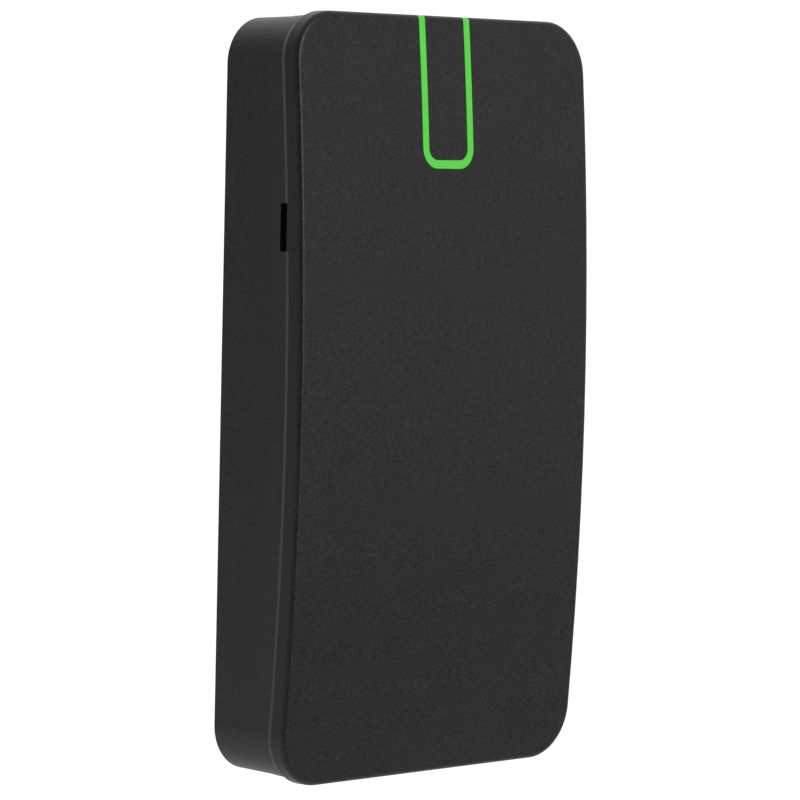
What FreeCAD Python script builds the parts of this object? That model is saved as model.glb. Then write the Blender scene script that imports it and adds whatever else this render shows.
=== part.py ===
"""Slim wall-mounted proximity card reader, modelled as the pieces it comes apart into.

Frame: +X across the face, +Y into the wall, +Z up. The origin is the centre of the flat rear
face. "Depth" is the distance forward of that rear face, so a point at depth d has y = -d.
All sizes are in millimetres.
"""

import FreeCAD, Part
import math
import os

from FreeCAD import Vector

# ---------------------------------------------------------------- overall case
case_width = 44.2             # cover, side to side
case_height = 80.0            # cover, top to bottom
case_depth = 12.4             # rear face to the crown of the bowed front
bow_rise = 1.9                # the crown stands this far forward of the cover's top and bottom
cover_corner_radius = 5.5     # corners of the cover seen from the front
cover_edge_radius = 0.5       # rounding between the cover's rim and its face
cover_rim_height = 1.78       # the cover's visible side band
cover_overhang = 0.43         # the cover stands out past the housing all round
seam_gap = 0.1                # between the cover's rim and the housing's rim

# ---------------------------------------------------------------- rear housing
housing_draft = 0.25          # how much smaller each side is at the rear face
housing_rear_corner = 4.9
housing_rear_round = 0.1      # rounding of the rear outer edge
flare_steps = ((0.07, 1.5), (0.2, 0.8))      # the walls curl outwards: (proud, down from the rim)
flare_lip = 0.2               # upright band left at the front of each step
wall_at_rim = 1.7
floor_thickness = 1.6

# ---------------------------------------------------------------- front cover
cover_plate = 1.6             # wall of the cover
tongue_thickness = 1.0
tongue_reach = 2.2            # how far the tongue goes into the housing
tongue_clearance = 0.15
latch_length = 4.0
latch_radius = 0.6
latch_proud = 0.1             # how far each latch bead stands out of the tongue
latch_groove = 0.2            # how deep its groove is in the housing's wall
latch_drop = 1.2              # parting line to the middle of the bead
latch_heights = (-24.0, 0.0, 27.0)

# ---------------------------------------------------------------- pry slot
pry_length = 4.95
pry_depth = 1.55              # back from the parting line
pry_height = 17.75            # middle of the slot, above the case's middle
pry_corner = 0.2              # round corners at the slot's rear
pry_ledge = 0.3               # the cover's ledge that a blade pushes on reaches this far into it
pry_ledge_clearance = 0.02    # at the ledge's ends

# ---------------------------------------------------------------- wall screws and cable inlet
wall_screw_inset = 9.0         # hole centres, in from the cover's top and bottom
wall_screw_hole_radius = 1.8
wall_screw_head_radius = 3.5
wall_screw_pad_radius = 4.1
wall_screw_pad_height = 1.4
inlet_height = -11.0          # middle of the cable inlet, from the case's middle
inlet_bore_radius = 2.1
grommet_neck_radius = 3.4
grommet_flange_radius = 4.6
grommet_flange_thickness = 0.5
grommet_fit = 0.02

# ---------------------------------------------------------------- circuit board
board_thickness = 1.2
board_clearance = 0.4         # to the housing's inner walls
board_boss_height = 2.2
board_boss_radius = 2.3
board_boss_inset_x = 4.4      # boss centres, in from the housing's inner walls
board_boss_inset_z = 4.0
board_notch_clearance = 0.5   # round the wall screw pads
board_inlet_clearance = 0.6   # round the grommet's neck
board_screw_shank_radius = 1.0
board_screw_head_radius = 1.9
board_screw_head_height = 1.3
board_screw_length = 4.0
board_screw_fit = 0.02
board_hole_clearance = 0.15
board_peg_radius = 0.85
board_peg_proud = 0.5

# ---------------------------------------------------------------- light strip
strip_width = 0.88
strip_leg_spacing = 6.8
strip_length = 16.0           # from the cover's top edge down to the outside of the bend
strip_outer_radius = 2.15
strip_thickness = 0.9
strip_wrap = 1.3              # how far it runs down the cover's top rim
strip_fit = 0.02
light_post_width = 2.0
light_post_height = 1.6       # up from the outside of the strip's bend
light_post_offset = 2.6       # middle of each post from the centre line
light_post_gap = 0.3          # from the lamp's window to the post

# ---------------------------------------------------------------- lamps and their shield
lamp_width = 3.2
lamp_height = 2.6
lamp_thickness = 1.5
lamp_window_radius = 1.0
lamp_window_depth = 0.5
lamp_drop = 0.3               # below the middle of the strip's bottom bar
shield_wall = 0.6
shield_gap = 0.2              # round the lamps and round the posts
shield_top_gap = 0.4          # below the cover's inner face

# ---------------------------------------------------------------- antennas
loop_edge_gap = 0.9           # trace to the board's long edges
loop_end_gap = 0.4            # trace to the wall screws' notches and to the lamps' shield
loop_trace_width = 0.5
loop_trace_gap = 0.4
loop_turns = 3
loop_trace_thickness = 0.07
coil_gap = 1.0                # between the loop's inner turn and the wound coil
coil_width = 1.5
coil_thickness = 1.8
coil_corner_radius = 3.0

# ---------------------------------------------------------------- tamper switch
tamper_from_boss = 5.7        # switch centre, in from the board's fixings
tamper_above_screw = 0.4      # and above the lower wall screw
tamper_body_side = 5.2
tamper_body_height = 3.6
tamper_stem_radius = 1.0
tamper_flange_radius = 1.6
tamper_flange_thickness = 0.4
tamper_stem_proud = 0.3       # stem above the switch with the cover on
tamper_travel = 0.8
tamper_clearance = 0.08
tamper_cover_gap = 0.05
tamper_base = 0.5             # floor of the switch
tamper_roof = 0.6             # roof of the switch
tamper_post_radius = 1.6
spring_wire = 0.14
spring_radius = 1.2           # to the middle of the wire
spring_turns = 3.0
spring_wire_sides = 8         # the thin wire is drawn with flats

# ---------------------------------------------------------------- header
header_pins = 8
header_pitch = 1.25
header_end_wall = 1.6
header_depth_z = 4.6
header_height = 3.4
header_wall = 0.6
header_pin_side = 0.4
header_gap = 2.0              # from the board's cable hole to the header's mouth

# ---------------------------------------------------------------- parts soldered to the board
package_edge = 0.12           # chamfer on the moulded packages
package_lift = 0.1            # under the moulded packages with leads
lead_thickness = 0.15

# ---------------------------------------------------------------- values worked out from the above
bow_radius = ((case_height / 2) ** 2 + bow_rise ** 2) / (2 * bow_rise)
housing_width = case_width - 2 * cover_overhang
housing_height = case_height - 2 * cover_overhang
housing_corner = cover_corner_radius - cover_overhang
cavity_width = housing_width - 2 * wall_at_rim
cavity_height = housing_height - 2 * wall_at_rim
cavity_corner = housing_corner - wall_at_rim
cover_rim_back = case_depth - cover_rim_height      # at mid height, as are the next two
parting_depth = cover_rim_back - seam_gap
cover_inner = case_depth - cover_plate
tongue_width = cavity_width - 2 * tongue_clearance
tongue_height = cavity_height - 2 * tongue_clearance
tongue_corner = cavity_corner - tongue_clearance

board_rear = floor_thickness + board_boss_height
board_front = board_rear + board_thickness
board_width = cavity_width - 2 * board_clearance
board_height = cavity_height - 2 * board_clearance
boss_x = cavity_width / 2 - board_boss_inset_x
boss_z = cavity_height / 2 - board_boss_inset_z
screw_bosses = ((-boss_x, boss_z), (boss_x, -boss_z))
peg_bosses = ((boss_x, boss_z), (-boss_x, -boss_z))
wall_screw_z = case_height / 2 - wall_screw_inset
notch_radius = wall_screw_pad_radius + board_notch_clearance
inlet_hole_radius = grommet_neck_radius + board_inlet_clearance

strip_low = case_height / 2 - strip_length
lamp_z = strip_low + strip_width / 2 - lamp_drop
lamp_top = board_front + lamp_thickness
shield_height = lamp_height + 2 * shield_gap + 2 * shield_wall
loop_low = notch_radius + loop_end_gap - wall_screw_z
loop_high = lamp_z - shield_height / 2 - loop_end_gap
tamper_x = boss_x - tamper_from_boss
tamper_z = tamper_above_screw - wall_screw_z
far = 2 * case_depth


# ---------------------------------------------------------------- geometry helpers
def bow_drop(z):
    """How far the bow has fallen back from its crown at height z."""
    return bow_radius - math.sqrt(bow_radius ** 2 - z ** 2)


def at(x, depth, z):
    """Point at a depth forward of the rear face."""
    return Vector(x, -depth, z)


def box(x_low, x_high, depth_low, depth_high, z_low, z_high):
    """Straight block between the given limits."""
    corner = at(x_low, depth_high, z_low)
    return Part.makeBox(x_high - x_low, depth_high - depth_low, z_high - z_low, corner)


def block(x, z, width, height, depth_low, depth_high):
    """Straight block centred on (x, z)."""
    return box(x - width / 2, x + width / 2, depth_low, depth_high, z - height / 2, z + height / 2)


def peg(x, z, radius, depth_low, depth_high):
    """Round bar standing forward from depth_low to depth_high."""
    return Part.makeCylinder(radius, depth_high - depth_low, at(x, depth_low, z), Vector(0, -1, 0))


def rounded_outline(width, height, radius, depth, x=0.0, z=0.0):
    """Closed outline with round corners, at one depth."""
    right = width / 2
    top = height / 2
    middle = radius * (1 - math.sqrt(0.5))
    edges = []
    for sx, sz in ((1, 1), (-1, 1), (-1, -1), (1, -1)):
        side = at(x + sx * right, depth, z + sz * (top - radius))
        bend = at(x + sx * (right - middle), depth, z + sz * (top - middle))
        end = at(x + sx * (right - radius), depth, z + sz * top)
        arc = (side, bend, end) if sx * sz > 0 else (end, bend, side)
        if edges:
            edges.append(Part.LineSegment(edges[-1].Vertexes[-1].Point, arc[0]).toShape())
        edges.append(Part.Arc(*arc).toShape())
    first = edges[0].Vertexes[0].Point
    edges.append(Part.LineSegment(edges[-1].Vertexes[-1].Point, first).toShape())
    return Part.Wire(edges)


def rounded_block(width, height, radius, depth_low, depth_high, x=0.0, z=0.0):
    """Block with round upright corners, centred on (x, z)."""
    outline = rounded_outline(width, height, radius, depth_low, x, z)
    return Part.Face(outline).extrude(Vector(0, -(depth_high - depth_low), 0))


def behind_bow(crown_depth):
    """Everything behind a bowed surface whose crown is at crown_depth."""
    length = 2 * case_width
    centre = at(-length / 2, crown_depth - bow_radius, 0)
    return Part.makeCylinder(bow_radius, length, centre, Vector(1, 0, 0))


def edges_on(shape, test):
    """The shape's edges whose every sampled point passes the test."""
    found = []
    for edge in shape.Edges:
        points = edge.discretize(5)
        if all(test(point) for point in points):
            found.append(edge)
    return found


def package(x, z, width, height, depth_low, thickness, edge=package_edge):
    """Moulded package on the board with its front edges chamfered."""
    body = block(x, z, width, height, depth_low, depth_low + thickness)
    front = -(depth_low + thickness)
    top_edges = edges_on(body, lambda point: abs(point.y - front) < 1e-6)
    return body.makeChamfer(edge, top_edges)


def gull_lead(x, z, direction, span, width, rise):
    """Formed lead: out of the package at (x, z), down to the board and outwards.

    direction is the way it points, as (dx, dz); span is its reach along the board.
    """
    dx, dz = direction
    foot = span * 0.55
    knee = span - foot
    t = lead_thickness
    profile = (
        (0.0, rise),
        (knee, rise),
        (knee + t, 0.0 + t),
        (span, 0.0 + t),
        (span, 0.0),
        (knee, 0.0),
        (knee - t, rise - t),
        (0.0, rise - t),
    )
    side = Vector(-dz, 0, dx)
    corners = []
    for reach, lift in profile:
        base = at(x + dx * reach, board_front + lift, z + dz * reach)
        corners.append(base - side * (width / 2))
    corners.append(corners[0])
    return Part.Face(Part.makePolygon(corners)).extrude(side * width)


def one_solid(shape):
    """Clean a result of cuts and fuses, and check that it is a single solid."""
    clean = shape.removeSplitter()
    if len(clean.Solids) != 1:
        raise ValueError("expected one solid, found %d" % len(clean.Solids))
    return clean.Solids[0]


# ---------------------------------------------------------------- rear housing
def flare_step(proud, reach):
    """Slab under the parting line whose edge slopes from the housing's wall out to its lip."""
    back = parting_depth - 2 * reach
    width = housing_width + 2 * proud
    height = housing_height + 2 * proud
    slab = rounded_block(width, height, housing_corner + proud, 0.0, far)
    slab = slab.common(behind_bow(parting_depth)).cut(behind_bow(back))
    edges = edges_on(slab, lambda point: abs(-point.y - back + bow_drop(point.z)) < 1e-3)
    return slab.makeChamfer(2 * reach - flare_lip, 2 * proud, edges)


def housing_outer():
    """Tapering outside of the housing, with its bowed rim."""
    taper = far / parting_depth
    rear = rounded_outline(
        housing_width - 2 * housing_draft,
        housing_height - 2 * housing_draft,
        housing_rear_corner,
        0.0,
    )
    grow = 2 * housing_draft * (taper - 1)
    corner = housing_rear_corner + (housing_corner - housing_rear_corner) * taper
    front = rounded_outline(housing_width + grow, housing_height + grow, corner, far)
    body = Part.makeLoft([rear, front], True, True).common(behind_bow(parting_depth))
    rear_edges = edges_on(body, lambda point: abs(point.y) < 1e-6)
    body = body.makeFillet(housing_rear_round, rear_edges)
    return body.fuse([flare_step(proud, reach) for proud, reach in flare_steps]).removeSplitter()


def latch_bars(radius, proud, width):
    """Round beads along both long sides, standing out of a box of the given width."""
    bars = []
    for height in latch_heights:
        depth = parting_depth - bow_drop(height) - latch_drop
        for side in (-1, 1):
            x = side * (width / 2 + proud - radius)
            start = at(x, depth, height - latch_length / 2)
            bars.append(Part.makeCylinder(radius, latch_length, start, Vector(0, 0, 1)))
    return bars


def rear_housing():
    """Tray that is screwed to the wall and holds the board."""
    shell = housing_outer().cut(
        rounded_block(cavity_width, cavity_height, cavity_corner, floor_thickness, far)
    )
    adds = []
    cuts = []
    for z in (-wall_screw_z, wall_screw_z):
        pad_top = floor_thickness + wall_screw_pad_height
        adds.append(peg(0, z, wall_screw_pad_radius, floor_thickness / 2, pad_top))
        cuts.append(peg(0, z, wall_screw_hole_radius, -1, far))
        sink = wall_screw_head_radius - wall_screw_hole_radius
        cuts.append(
            Part.makeCone(
                wall_screw_hole_radius,
                wall_screw_head_radius,
                sink,
                at(0, pad_top - sink, z),
                Vector(0, -1, 0),
            )
        )
    for x, z in screw_bosses:
        adds.append(peg(x, z, board_boss_radius, floor_thickness / 2, board_rear))
        pilot = board_screw_shank_radius + board_screw_fit
        cuts.append(peg(x, z, pilot, floor_thickness / 2, far))
    for x, z in peg_bosses:
        adds.append(peg(x, z, board_boss_radius, floor_thickness / 2, board_rear))
        adds.append(peg(x, z, board_peg_radius, board_rear, board_front + board_peg_proud))
    cuts.append(peg(0, inlet_height, grommet_neck_radius + grommet_fit, -1, far))
    recess = grommet_flange_radius + grommet_fit
    cuts.append(peg(0, inlet_height, recess, -1, grommet_flange_thickness + grommet_fit))
    slot_rear = parting_depth - bow_drop(pry_height) - pry_depth
    slot_inside = -cavity_width / 2 + wall_at_rim / 2
    slot_low = pry_height - pry_length / 2
    slot = box(-case_width, slot_inside, slot_rear, far, slot_low, slot_low + pry_length)
    slot_edges = edges_on(slot, lambda point: abs(-point.y - slot_rear) < 1e-6)
    level = [edge for edge in slot_edges if edge.BoundBox.XLength > wall_at_rim]
    cuts.append(slot.makeFillet(pry_corner, level))
    cuts.extend(latch_bars(latch_radius, latch_groove, cavity_width))
    return one_solid(shell.fuse(adds).cut(cuts))


def cable_grommet():
    """Rubber ring in the rear wall that the reader's cable passes through."""
    inner_flange = floor_thickness + 2 * grommet_flange_thickness
    profile = (
        (inlet_bore_radius, 0.0),
        (grommet_flange_radius, 0.0),
        (grommet_flange_radius, grommet_flange_thickness),
        (grommet_neck_radius, grommet_flange_thickness),
        (grommet_neck_radius, floor_thickness),
        (grommet_flange_radius, floor_thickness),
        (grommet_flange_radius - grommet_flange_thickness, inner_flange),
        (inlet_bore_radius, inner_flange),
    )
    corners = [at(radius, depth, inlet_height) for radius, depth in profile]
    corners.append(corners[0])
    face = Part.Face(Part.makePolygon(corners))
    return face.revolve(at(0, 0, inlet_height), Vector(0, 1, 0), 360)


# ---------------------------------------------------------------- front cover and light guide
def cover_outer():
    """Solid block with the cover's outside, down to the back of its rim."""
    body = rounded_block(case_width, case_height, cover_corner_radius, 0.0, far)
    body = body.common(behind_bow(case_depth))
    front = edges_on(body, lambda point: abs(-point.y - case_depth + bow_drop(point.z)) < 1e-3)
    body = body.makeFillet(cover_edge_radius, front)
    return body.cut(behind_bow(cover_rim_back))


def strip_prism(grow):
    """Upright prism of the light strip's U, a little larger by grow."""
    top = case_height
    outer_width = strip_leg_spacing + strip_width + 2 * grow
    outer_low = strip_low - grow
    inner_width = strip_leg_spacing - strip_width - 2 * grow
    inner_low = strip_low + strip_width + grow
    outer = rounded_block(
        outer_width,
        top - outer_low,
        strip_outer_radius + grow,
        0.0,
        far,
        z=(top + outer_low) / 2,
    )
    inner = rounded_block(
        inner_width,
        top - inner_low + strip_outer_radius,
        strip_outer_radius - strip_width - grow,
        -1.0,
        far + 1.0,
        z=(top + inner_low + strip_outer_radius) / 2,
    )
    return outer.cut(inner)


def strip_skin(grow):
    """The light strip's own solid, as deep as the groove it lies in."""
    core = rounded_block(
        case_width - 2 * strip_thickness,
        case_height - 2 * strip_thickness,
        cover_corner_radius - strip_thickness,
        0.0,
        far,
    ).common(behind_bow(case_depth - strip_thickness))
    skin = cover_outer().common(strip_prism(grow)).cut(core)
    return skin.cut(behind_bow(case_depth - strip_wrap))


def light_posts(grow, depth_low):
    """The two bars that carry light from the lamps up to the strip."""
    posts = []
    high = case_depth - bow_drop(strip_low + light_post_height) - strip_thickness / 2
    for side in (-1, 1):
        x = side * light_post_offset
        z = strip_low + light_post_height / 2
        width = light_post_width + 2 * grow
        height = light_post_height + 2 * grow
        post = block(x, z, width, height, depth_low, high)
        posts.append(post.common(strip_prism(grow)))
    return posts


def light_guide():
    """Milky strip let into the cover, with its two light posts."""
    return one_solid(strip_skin(0.0).fuse(light_posts(0.0, lamp_top + light_post_gap)))


def pry_ledge_block():
    """Ledge behind the cover's rim that closes the front of the pry slot."""
    half = pry_length / 2 - pry_ledge_clearance
    crown = cover_rim_back - bow_drop(pry_height)
    ledge = box(
        -case_width / 2,
        -tongue_width / 2 + tongue_thickness / 2,
        crown - pry_ledge,
        crown + cover_plate / 4,
        pry_height - half,
        pry_height + half,
    )
    return ledge


def front_cover():
    """Bowed cover with the tongue that snaps into the housing."""
    outside = cover_outer()
    inner_width = tongue_width - 2 * tongue_thickness
    inner_height = tongue_height - 2 * tongue_thickness
    inner_corner = tongue_corner - tongue_thickness
    tongue = rounded_block(tongue_width, tongue_height, tongue_corner, 0.0, far)
    tongue = tongue.common(behind_bow(cover_rim_back + cover_plate / 2))
    tongue = tongue.cut(behind_bow(parting_depth - tongue_reach))
    hollow = rounded_block(inner_width, inner_height, inner_corner, -1.0, far)
    hollow = hollow.common(behind_bow(cover_inner))
    beads = latch_bars(latch_radius, latch_proud, tongue_width)
    body = outside.fuse([tongue, pry_ledge_block()] + beads).cut(hollow)
    post_low = tamper_top() + tamper_cover_gap
    post_high = case_depth - bow_drop(tamper_z) - cover_plate / 2
    body = body.fuse(peg(tamper_x, tamper_z, tamper_post_radius, post_low, post_high))
    holes = light_posts(strip_fit, 0.0)
    return one_solid(body.cut([strip_skin(strip_fit)] + holes))


# ---------------------------------------------------------------- circuit board and its antennas
def main_board():
    """Board cut out round the wall screws, the fixings and the cable."""
    corner = cavity_corner - board_clearance
    board = rounded_block(board_width, board_height, corner, board_rear, board_front)
    cuts = []
    for side in (-1, 1):
        z = side * wall_screw_z
        cuts.append(peg(0, z, notch_radius, 0, far))
        cuts.append(block(0, z + side * notch_radius, 2 * notch_radius, 2 * notch_radius, 0, far))
    for x, z in screw_bosses:
        cuts.append(peg(x, z, board_screw_shank_radius + board_hole_clearance, 0, far))
    for x, z in peg_bosses:
        cuts.append(peg(x, z, board_peg_radius + board_hole_clearance / 2, 0, far))
    cuts.append(peg(0, inlet_height, inlet_hole_radius, 0, far))
    return one_solid(board.cut(cuts))


def board_screws():
    """Two small pan-head screws that hold the board down."""
    screws = []
    for x, z in screw_bosses:
        shank = peg(
            x,
            z,
            board_screw_shank_radius,
            board_front - board_screw_length,
            board_front + board_screw_head_height / 2,
        )
        head_top = board_front + board_screw_head_height
        head = peg(x, z, board_screw_head_radius, board_front, head_top)
        crown = edges_on(head, lambda point, top=head_top: abs(point.y + top) < 1e-6)
        head = head.makeFillet(board_screw_head_height / 3, crown)
        arm = board_screw_head_radius * 1.2
        thin = board_screw_head_radius * 0.26
        low = head_top - board_screw_head_height * 0.55
        cross = [block(x, z, arm, thin, low, far), block(x, z, thin, arm, low, far)]
        screws.append(one_solid(shank.fuse(head).cut(cross)))
    return Part.makeCompound(screws)


def loop_inner_edge():
    """Half width inside the printed loop's last turn."""
    pitch = loop_trace_width + loop_trace_gap
    return board_width / 2 - loop_edge_gap - loop_turns * pitch + loop_trace_gap


def printed_loop():
    """Square spiral of flat copper for the high-frequency cards."""
    pitch = loop_trace_width + loop_trace_gap
    right = board_width / 2 - loop_edge_gap - loop_trace_width / 2
    low = loop_low + loop_trace_width / 2
    high = loop_high - loop_trace_width / 2
    points = [(-right, high)]
    for turn in range(loop_turns):
        inset = turn * pitch
        points.append((right - inset, high - inset))
        points.append((right - inset, low + inset))
        points.append((-right + inset, low + inset))
        points.append((-right + inset, high - inset - pitch))
    half = loop_trace_width / 2
    runs = []
    for start, end in zip(points, points[1:]):
        runs.append(
            box(
                min(start[0], end[0]) - half,
                max(start[0], end[0]) + half,
                board_front,
                board_front + loop_trace_thickness,
                min(start[1], end[1]) - half,
                max(start[1], end[1]) + half,
            )
        )
    return one_solid(runs[0].fuse(runs[1:]))


def coil_limits():
    """Outer half width, low and high of the wound coil."""
    pitch = loop_trace_width + loop_trace_gap
    inset = (loop_turns + 1) * pitch + coil_gap
    return loop_inner_edge() - coil_gap, loop_low + inset, loop_high - inset


def wound_coil():
    """Flat bundle of enamelled wire for the low-frequency cards."""
    half, low, high = coil_limits()
    top = board_front + coil_thickness
    middle = (low + high) / 2
    outer = rounded_block(2 * half, high - low, coil_corner_radius, board_front, top, z=middle)
    inner = rounded_block(
        2 * (half - coil_width),
        high - low - 2 * coil_width,
        coil_corner_radius - coil_width,
        board_front - 1.0,
        top + 1.0,
        z=middle,
    )
    return outer.cut(inner)


# ---------------------------------------------------------------- lamps
def lamp_positions():
    """Middles of the two lamps."""
    return [(side * light_post_offset, lamp_z) for side in (-1, 1)]


def status_lamps():
    """Two surface-mounted lamps with a round well in each."""
    lamps = []
    for x, z in lamp_positions():
        body = block(x, z, lamp_width, lamp_height, board_front, lamp_top)
        well = peg(x, z, lamp_window_radius, lamp_top - lamp_window_depth, far)
        lamps.append(body.cut(well))
    return Part.makeCompound(lamps)


def lamp_windows():
    """Clear resin that fills the lamps' wells."""
    low = lamp_top - lamp_window_depth
    return Part.makeCompound(
        [peg(x, z, lamp_window_radius, low, lamp_top) for x, z in lamp_positions()]
    )


def light_shield():
    """White collar that keeps the lamps' light in the posts."""
    top = cover_inner - bow_drop(lamp_z + lamp_height) - shield_top_gap
    pocket_width = lamp_width + 2 * shield_gap
    pocket_height = lamp_height + 2 * shield_gap
    width = 2 * light_post_offset + pocket_width + 2 * shield_wall
    collar = block(0, lamp_z, width, shield_height, board_front, top)
    post_z = strip_low + light_post_height / 2
    shaft_width = light_post_width + 2 * shield_gap
    shaft_height = light_post_height + 2 * shield_gap
    cuts = []
    for x, z in lamp_positions():
        cuts.append(block(x, z, pocket_width, pocket_height, 0.0, lamp_top + light_post_gap))
        cuts.append(block(x, post_z, shaft_width, shaft_height, lamp_top, far))
    return one_solid(collar.cut(cuts))


# ---------------------------------------------------------------- tamper switch
def tamper_top():
    """Depth of the stem's tip with the cover on."""
    return board_front + tamper_body_height + tamper_stem_proud


def tamper_switch():
    """Switch body with a round chamber for the stem and its spring."""
    top = board_front + tamper_body_height
    body = package(
        tamper_x, tamper_z, tamper_body_side, tamper_body_side, board_front, tamper_body_height
    )
    chamber = peg(
        tamper_x,
        tamper_z,
        tamper_flange_radius + tamper_clearance,
        board_front + tamper_base,
        top - tamper_roof,
    )
    hole = peg(
        tamper_x, tamper_z, tamper_stem_radius + tamper_clearance, board_front + tamper_base, far
    )
    return one_solid(body.cut([chamber, hole]))


def tamper_flange_low():
    """Depth of the underside of the stem's flange with the cover on."""
    ceiling = board_front + tamper_body_height - tamper_roof
    return ceiling - tamper_travel - tamper_clearance - tamper_flange_thickness


def tamper_plunger():
    """Stem with the flange that stops it in the switch's roof."""
    low = tamper_flange_low()
    flange_top = low + tamper_flange_thickness
    flange = peg(tamper_x, tamper_z, tamper_flange_radius, low, flange_top)
    stem = peg(tamper_x, tamper_z, tamper_stem_radius, low, tamper_top())
    tip = edges_on(stem, lambda point: abs(point.y + tamper_top()) < 1e-6)
    stem = stem.makeFillet(tamper_stem_radius / 3, tip)
    return one_solid(stem.fuse(flange))


def tamper_spring():
    """Small coil spring under the stem's flange."""
    low = board_front + tamper_base + spring_wire / 2 + tamper_clearance / 2
    high = tamper_flange_low() - spring_wire / 2 - tamper_clearance / 2
    helix = Part.makeHelix((high - low) / spring_turns, high - low, spring_radius)
    corners = []
    for index in range(spring_wire_sides + 1):
        turn = 2 * math.pi * index / spring_wire_sides
        across = spring_radius + spring_wire / 2 * math.cos(turn)
        corners.append(Vector(across, 0, spring_wire / 2 * math.sin(turn)))
    section = Part.makePolygon(corners)
    spring = Part.Wire(helix).makePipeShell([section], True, True)
    spring.rotate(Vector(0, 0, 0), Vector(1, 0, 0), 90)
    spring.translate(at(tamper_x, low, tamper_z))
    return spring


# ---------------------------------------------------------------- cable header
def header_mouth():
    """Height of the header's open end, above the board's cable hole."""
    return inlet_height + inlet_hole_radius + header_gap


def header_span():
    """Width of the header."""
    return (header_pins - 1) * header_pitch + 2 * header_end_wall


def cable_header():
    """Right-angle header that the cable's plug goes into."""
    mouth = header_mouth()
    back = mouth + header_depth_z
    span = header_span()
    top = board_front + header_height
    body = box(-span / 2, span / 2, board_front, top, mouth, back)
    hollow = box(
        -span / 2 + header_wall,
        span / 2 - header_wall,
        board_front + header_wall,
        top - header_wall,
        mouth - 1.0,
        back - header_wall,
    )
    return one_solid(body.cut([hollow] + header_wires(header_pin_side)))


def header_wires(side):
    """Eight straight pins with the tails that are soldered to the board."""
    pins = []
    mouth = header_mouth()
    back = mouth + header_depth_z
    level = board_front + header_height / 2
    for index in range(header_pins):
        x = (index - (header_pins - 1) / 2) * header_pitch
        straight = box(
            x - side / 2,
            x + side / 2,
            level - side / 2,
            level + side / 2,
            mouth + header_wall,
            back + header_wall,
        )
        drop = box(
            x - side / 2,
            x + side / 2,
            board_front,
            level + side / 2,
            back + header_wall - side,
            back + header_wall,
        )
        tail = box(
            x - side / 2,
            x + side / 2,
            board_front,
            board_front + side / 2,
            back + header_wall - side,
            back + 2 * header_wall,
        )
        pins.append(one_solid(straight.fuse([drop, tail])))
    return pins


# ---------------------------------------------------------------- chips and small parts
chip_x = -6.4                 # middle of the microcontroller
chip_z = 9.6
chip_side = 7.0
chip_thickness = 1.0
chip_lead_pitch = 0.5
chip_leads_per_side = 12
chip_lead_width = 0.22
chip_lead_span = 0.9

radio_x = 7.6                 # middle of the card radio chip
radio_z = 10.4
radio_side = 5.0
radio_thickness = 0.85

driver_x = 8.6                # middle of the line driver
driver_below_inlet = 1.6
driver_width = 3.9
driver_height = 4.9
driver_thickness = 1.4
driver_lead_pitch = 1.27
driver_lead_width = 0.42
driver_lead_span = 1.0

regulator_x = -8.6            # middle of the voltage regulator
regulator_below_inlet = 3.6
regulator_width = 4.5
regulator_height = 3.5
regulator_thickness = 1.5
regulator_lead_pitch = 1.5
regulator_lead_width = 0.5
regulator_lead_span = 1.1

choke_x = -8.9                # middle of the power inductor
choke_above_inlet = 4.0
choke_side = 4.0
choke_thickness = 1.9

crystal_x = 1.4               # middle of the crystal
crystal_z = 11.4
crystal_width = 2.5
crystal_height = 3.2
crystal_thickness = 0.8

sounder_radius = 4.2
sounder_thickness = 3.0
sounder_from_boss = 5.6       # sounder centre, in from the board's fixings
sounder_below_screw = 0.2     # and below the lower wall screw
sounder_port_radius = 0.7

module_from_boss = 6.2        # short-range radio module, in from the board's fixings
module_above_screw = 0.2      # and above the upper wall screw
module_width = 7.4
module_height = 7.2
module_thickness = 0.8
module_can_inset = 0.5
module_can_height = 1.4
module_antenna_share = 1.9    # strip of the module left bare beside its can

bulk_offsets = ((-7.9, 0.6), (-2.8, -1.8))   # from the board's fixings and the wall screw
bulk_base_side = 4.3
bulk_base_thickness = 0.8
bulk_can_radius = 2.0
bulk_can_height = 4.0

small_length = 1.6            # small chip capacitors and resistors
small_width = 0.8
small_thickness = 0.5
small_end = 0.3
capacitor_spots = (
    (-1.0, 13.9, 0),
    (1.6, 13.9, 0),
    (4.2, 13.9, 0),
    (7.0, 13.9, 0),
    (9.8, 13.9, 0),
    (7.0, 5.8, 0),
    (-11.4, 3.4, 90),
    (-6.6, 3.2, 0),
    (-5.2, -9.6, 90),
    (8.2, -7.4, 0),
)
resistor_spots = (
    (1.4, 8.2, 0),
    (9.6, 5.8, 0),
    (-9.2, 3.2, 0),
    (-4.0, 3.2, 0),
    (-4.9, -15.6, 90),
    (5.2, -7.4, 0),
    (-9.8, lamp_z + 0.3, 0),
    (9.6, lamp_z + 0.1, 0),
)
driver_z = inlet_height - driver_below_inlet
regulator_z = inlet_height - regulator_below_inlet
choke_z = inlet_height + choke_above_inlet
sounder_x = sounder_from_boss - boss_x
sounder_z = -wall_screw_z - sounder_below_screw
module_x = module_from_boss - boss_x
module_z = wall_screw_z + module_above_screw
bulk_positions = [(boss_x + x, wall_screw_z + z) for x, z in bulk_offsets]


def microcontroller():
    """Square processor package."""
    low = board_front + package_lift
    return package(chip_x, chip_z, chip_side, chip_side, low, chip_thickness)


def lead_row(x, z, reach, direction, count, pitch, width, span, rise):
    """A row of formed leads along one side of a package."""
    dx, dz = direction
    leads = []
    for index in range(count):
        shift = (index - (count - 1) / 2) * pitch
        lead_x = x + dx * reach - dz * shift
        lead_z = z + dz * reach + dx * shift
        leads.append(gull_lead(lead_x, lead_z, direction, span, width, rise))
    return leads


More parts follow.
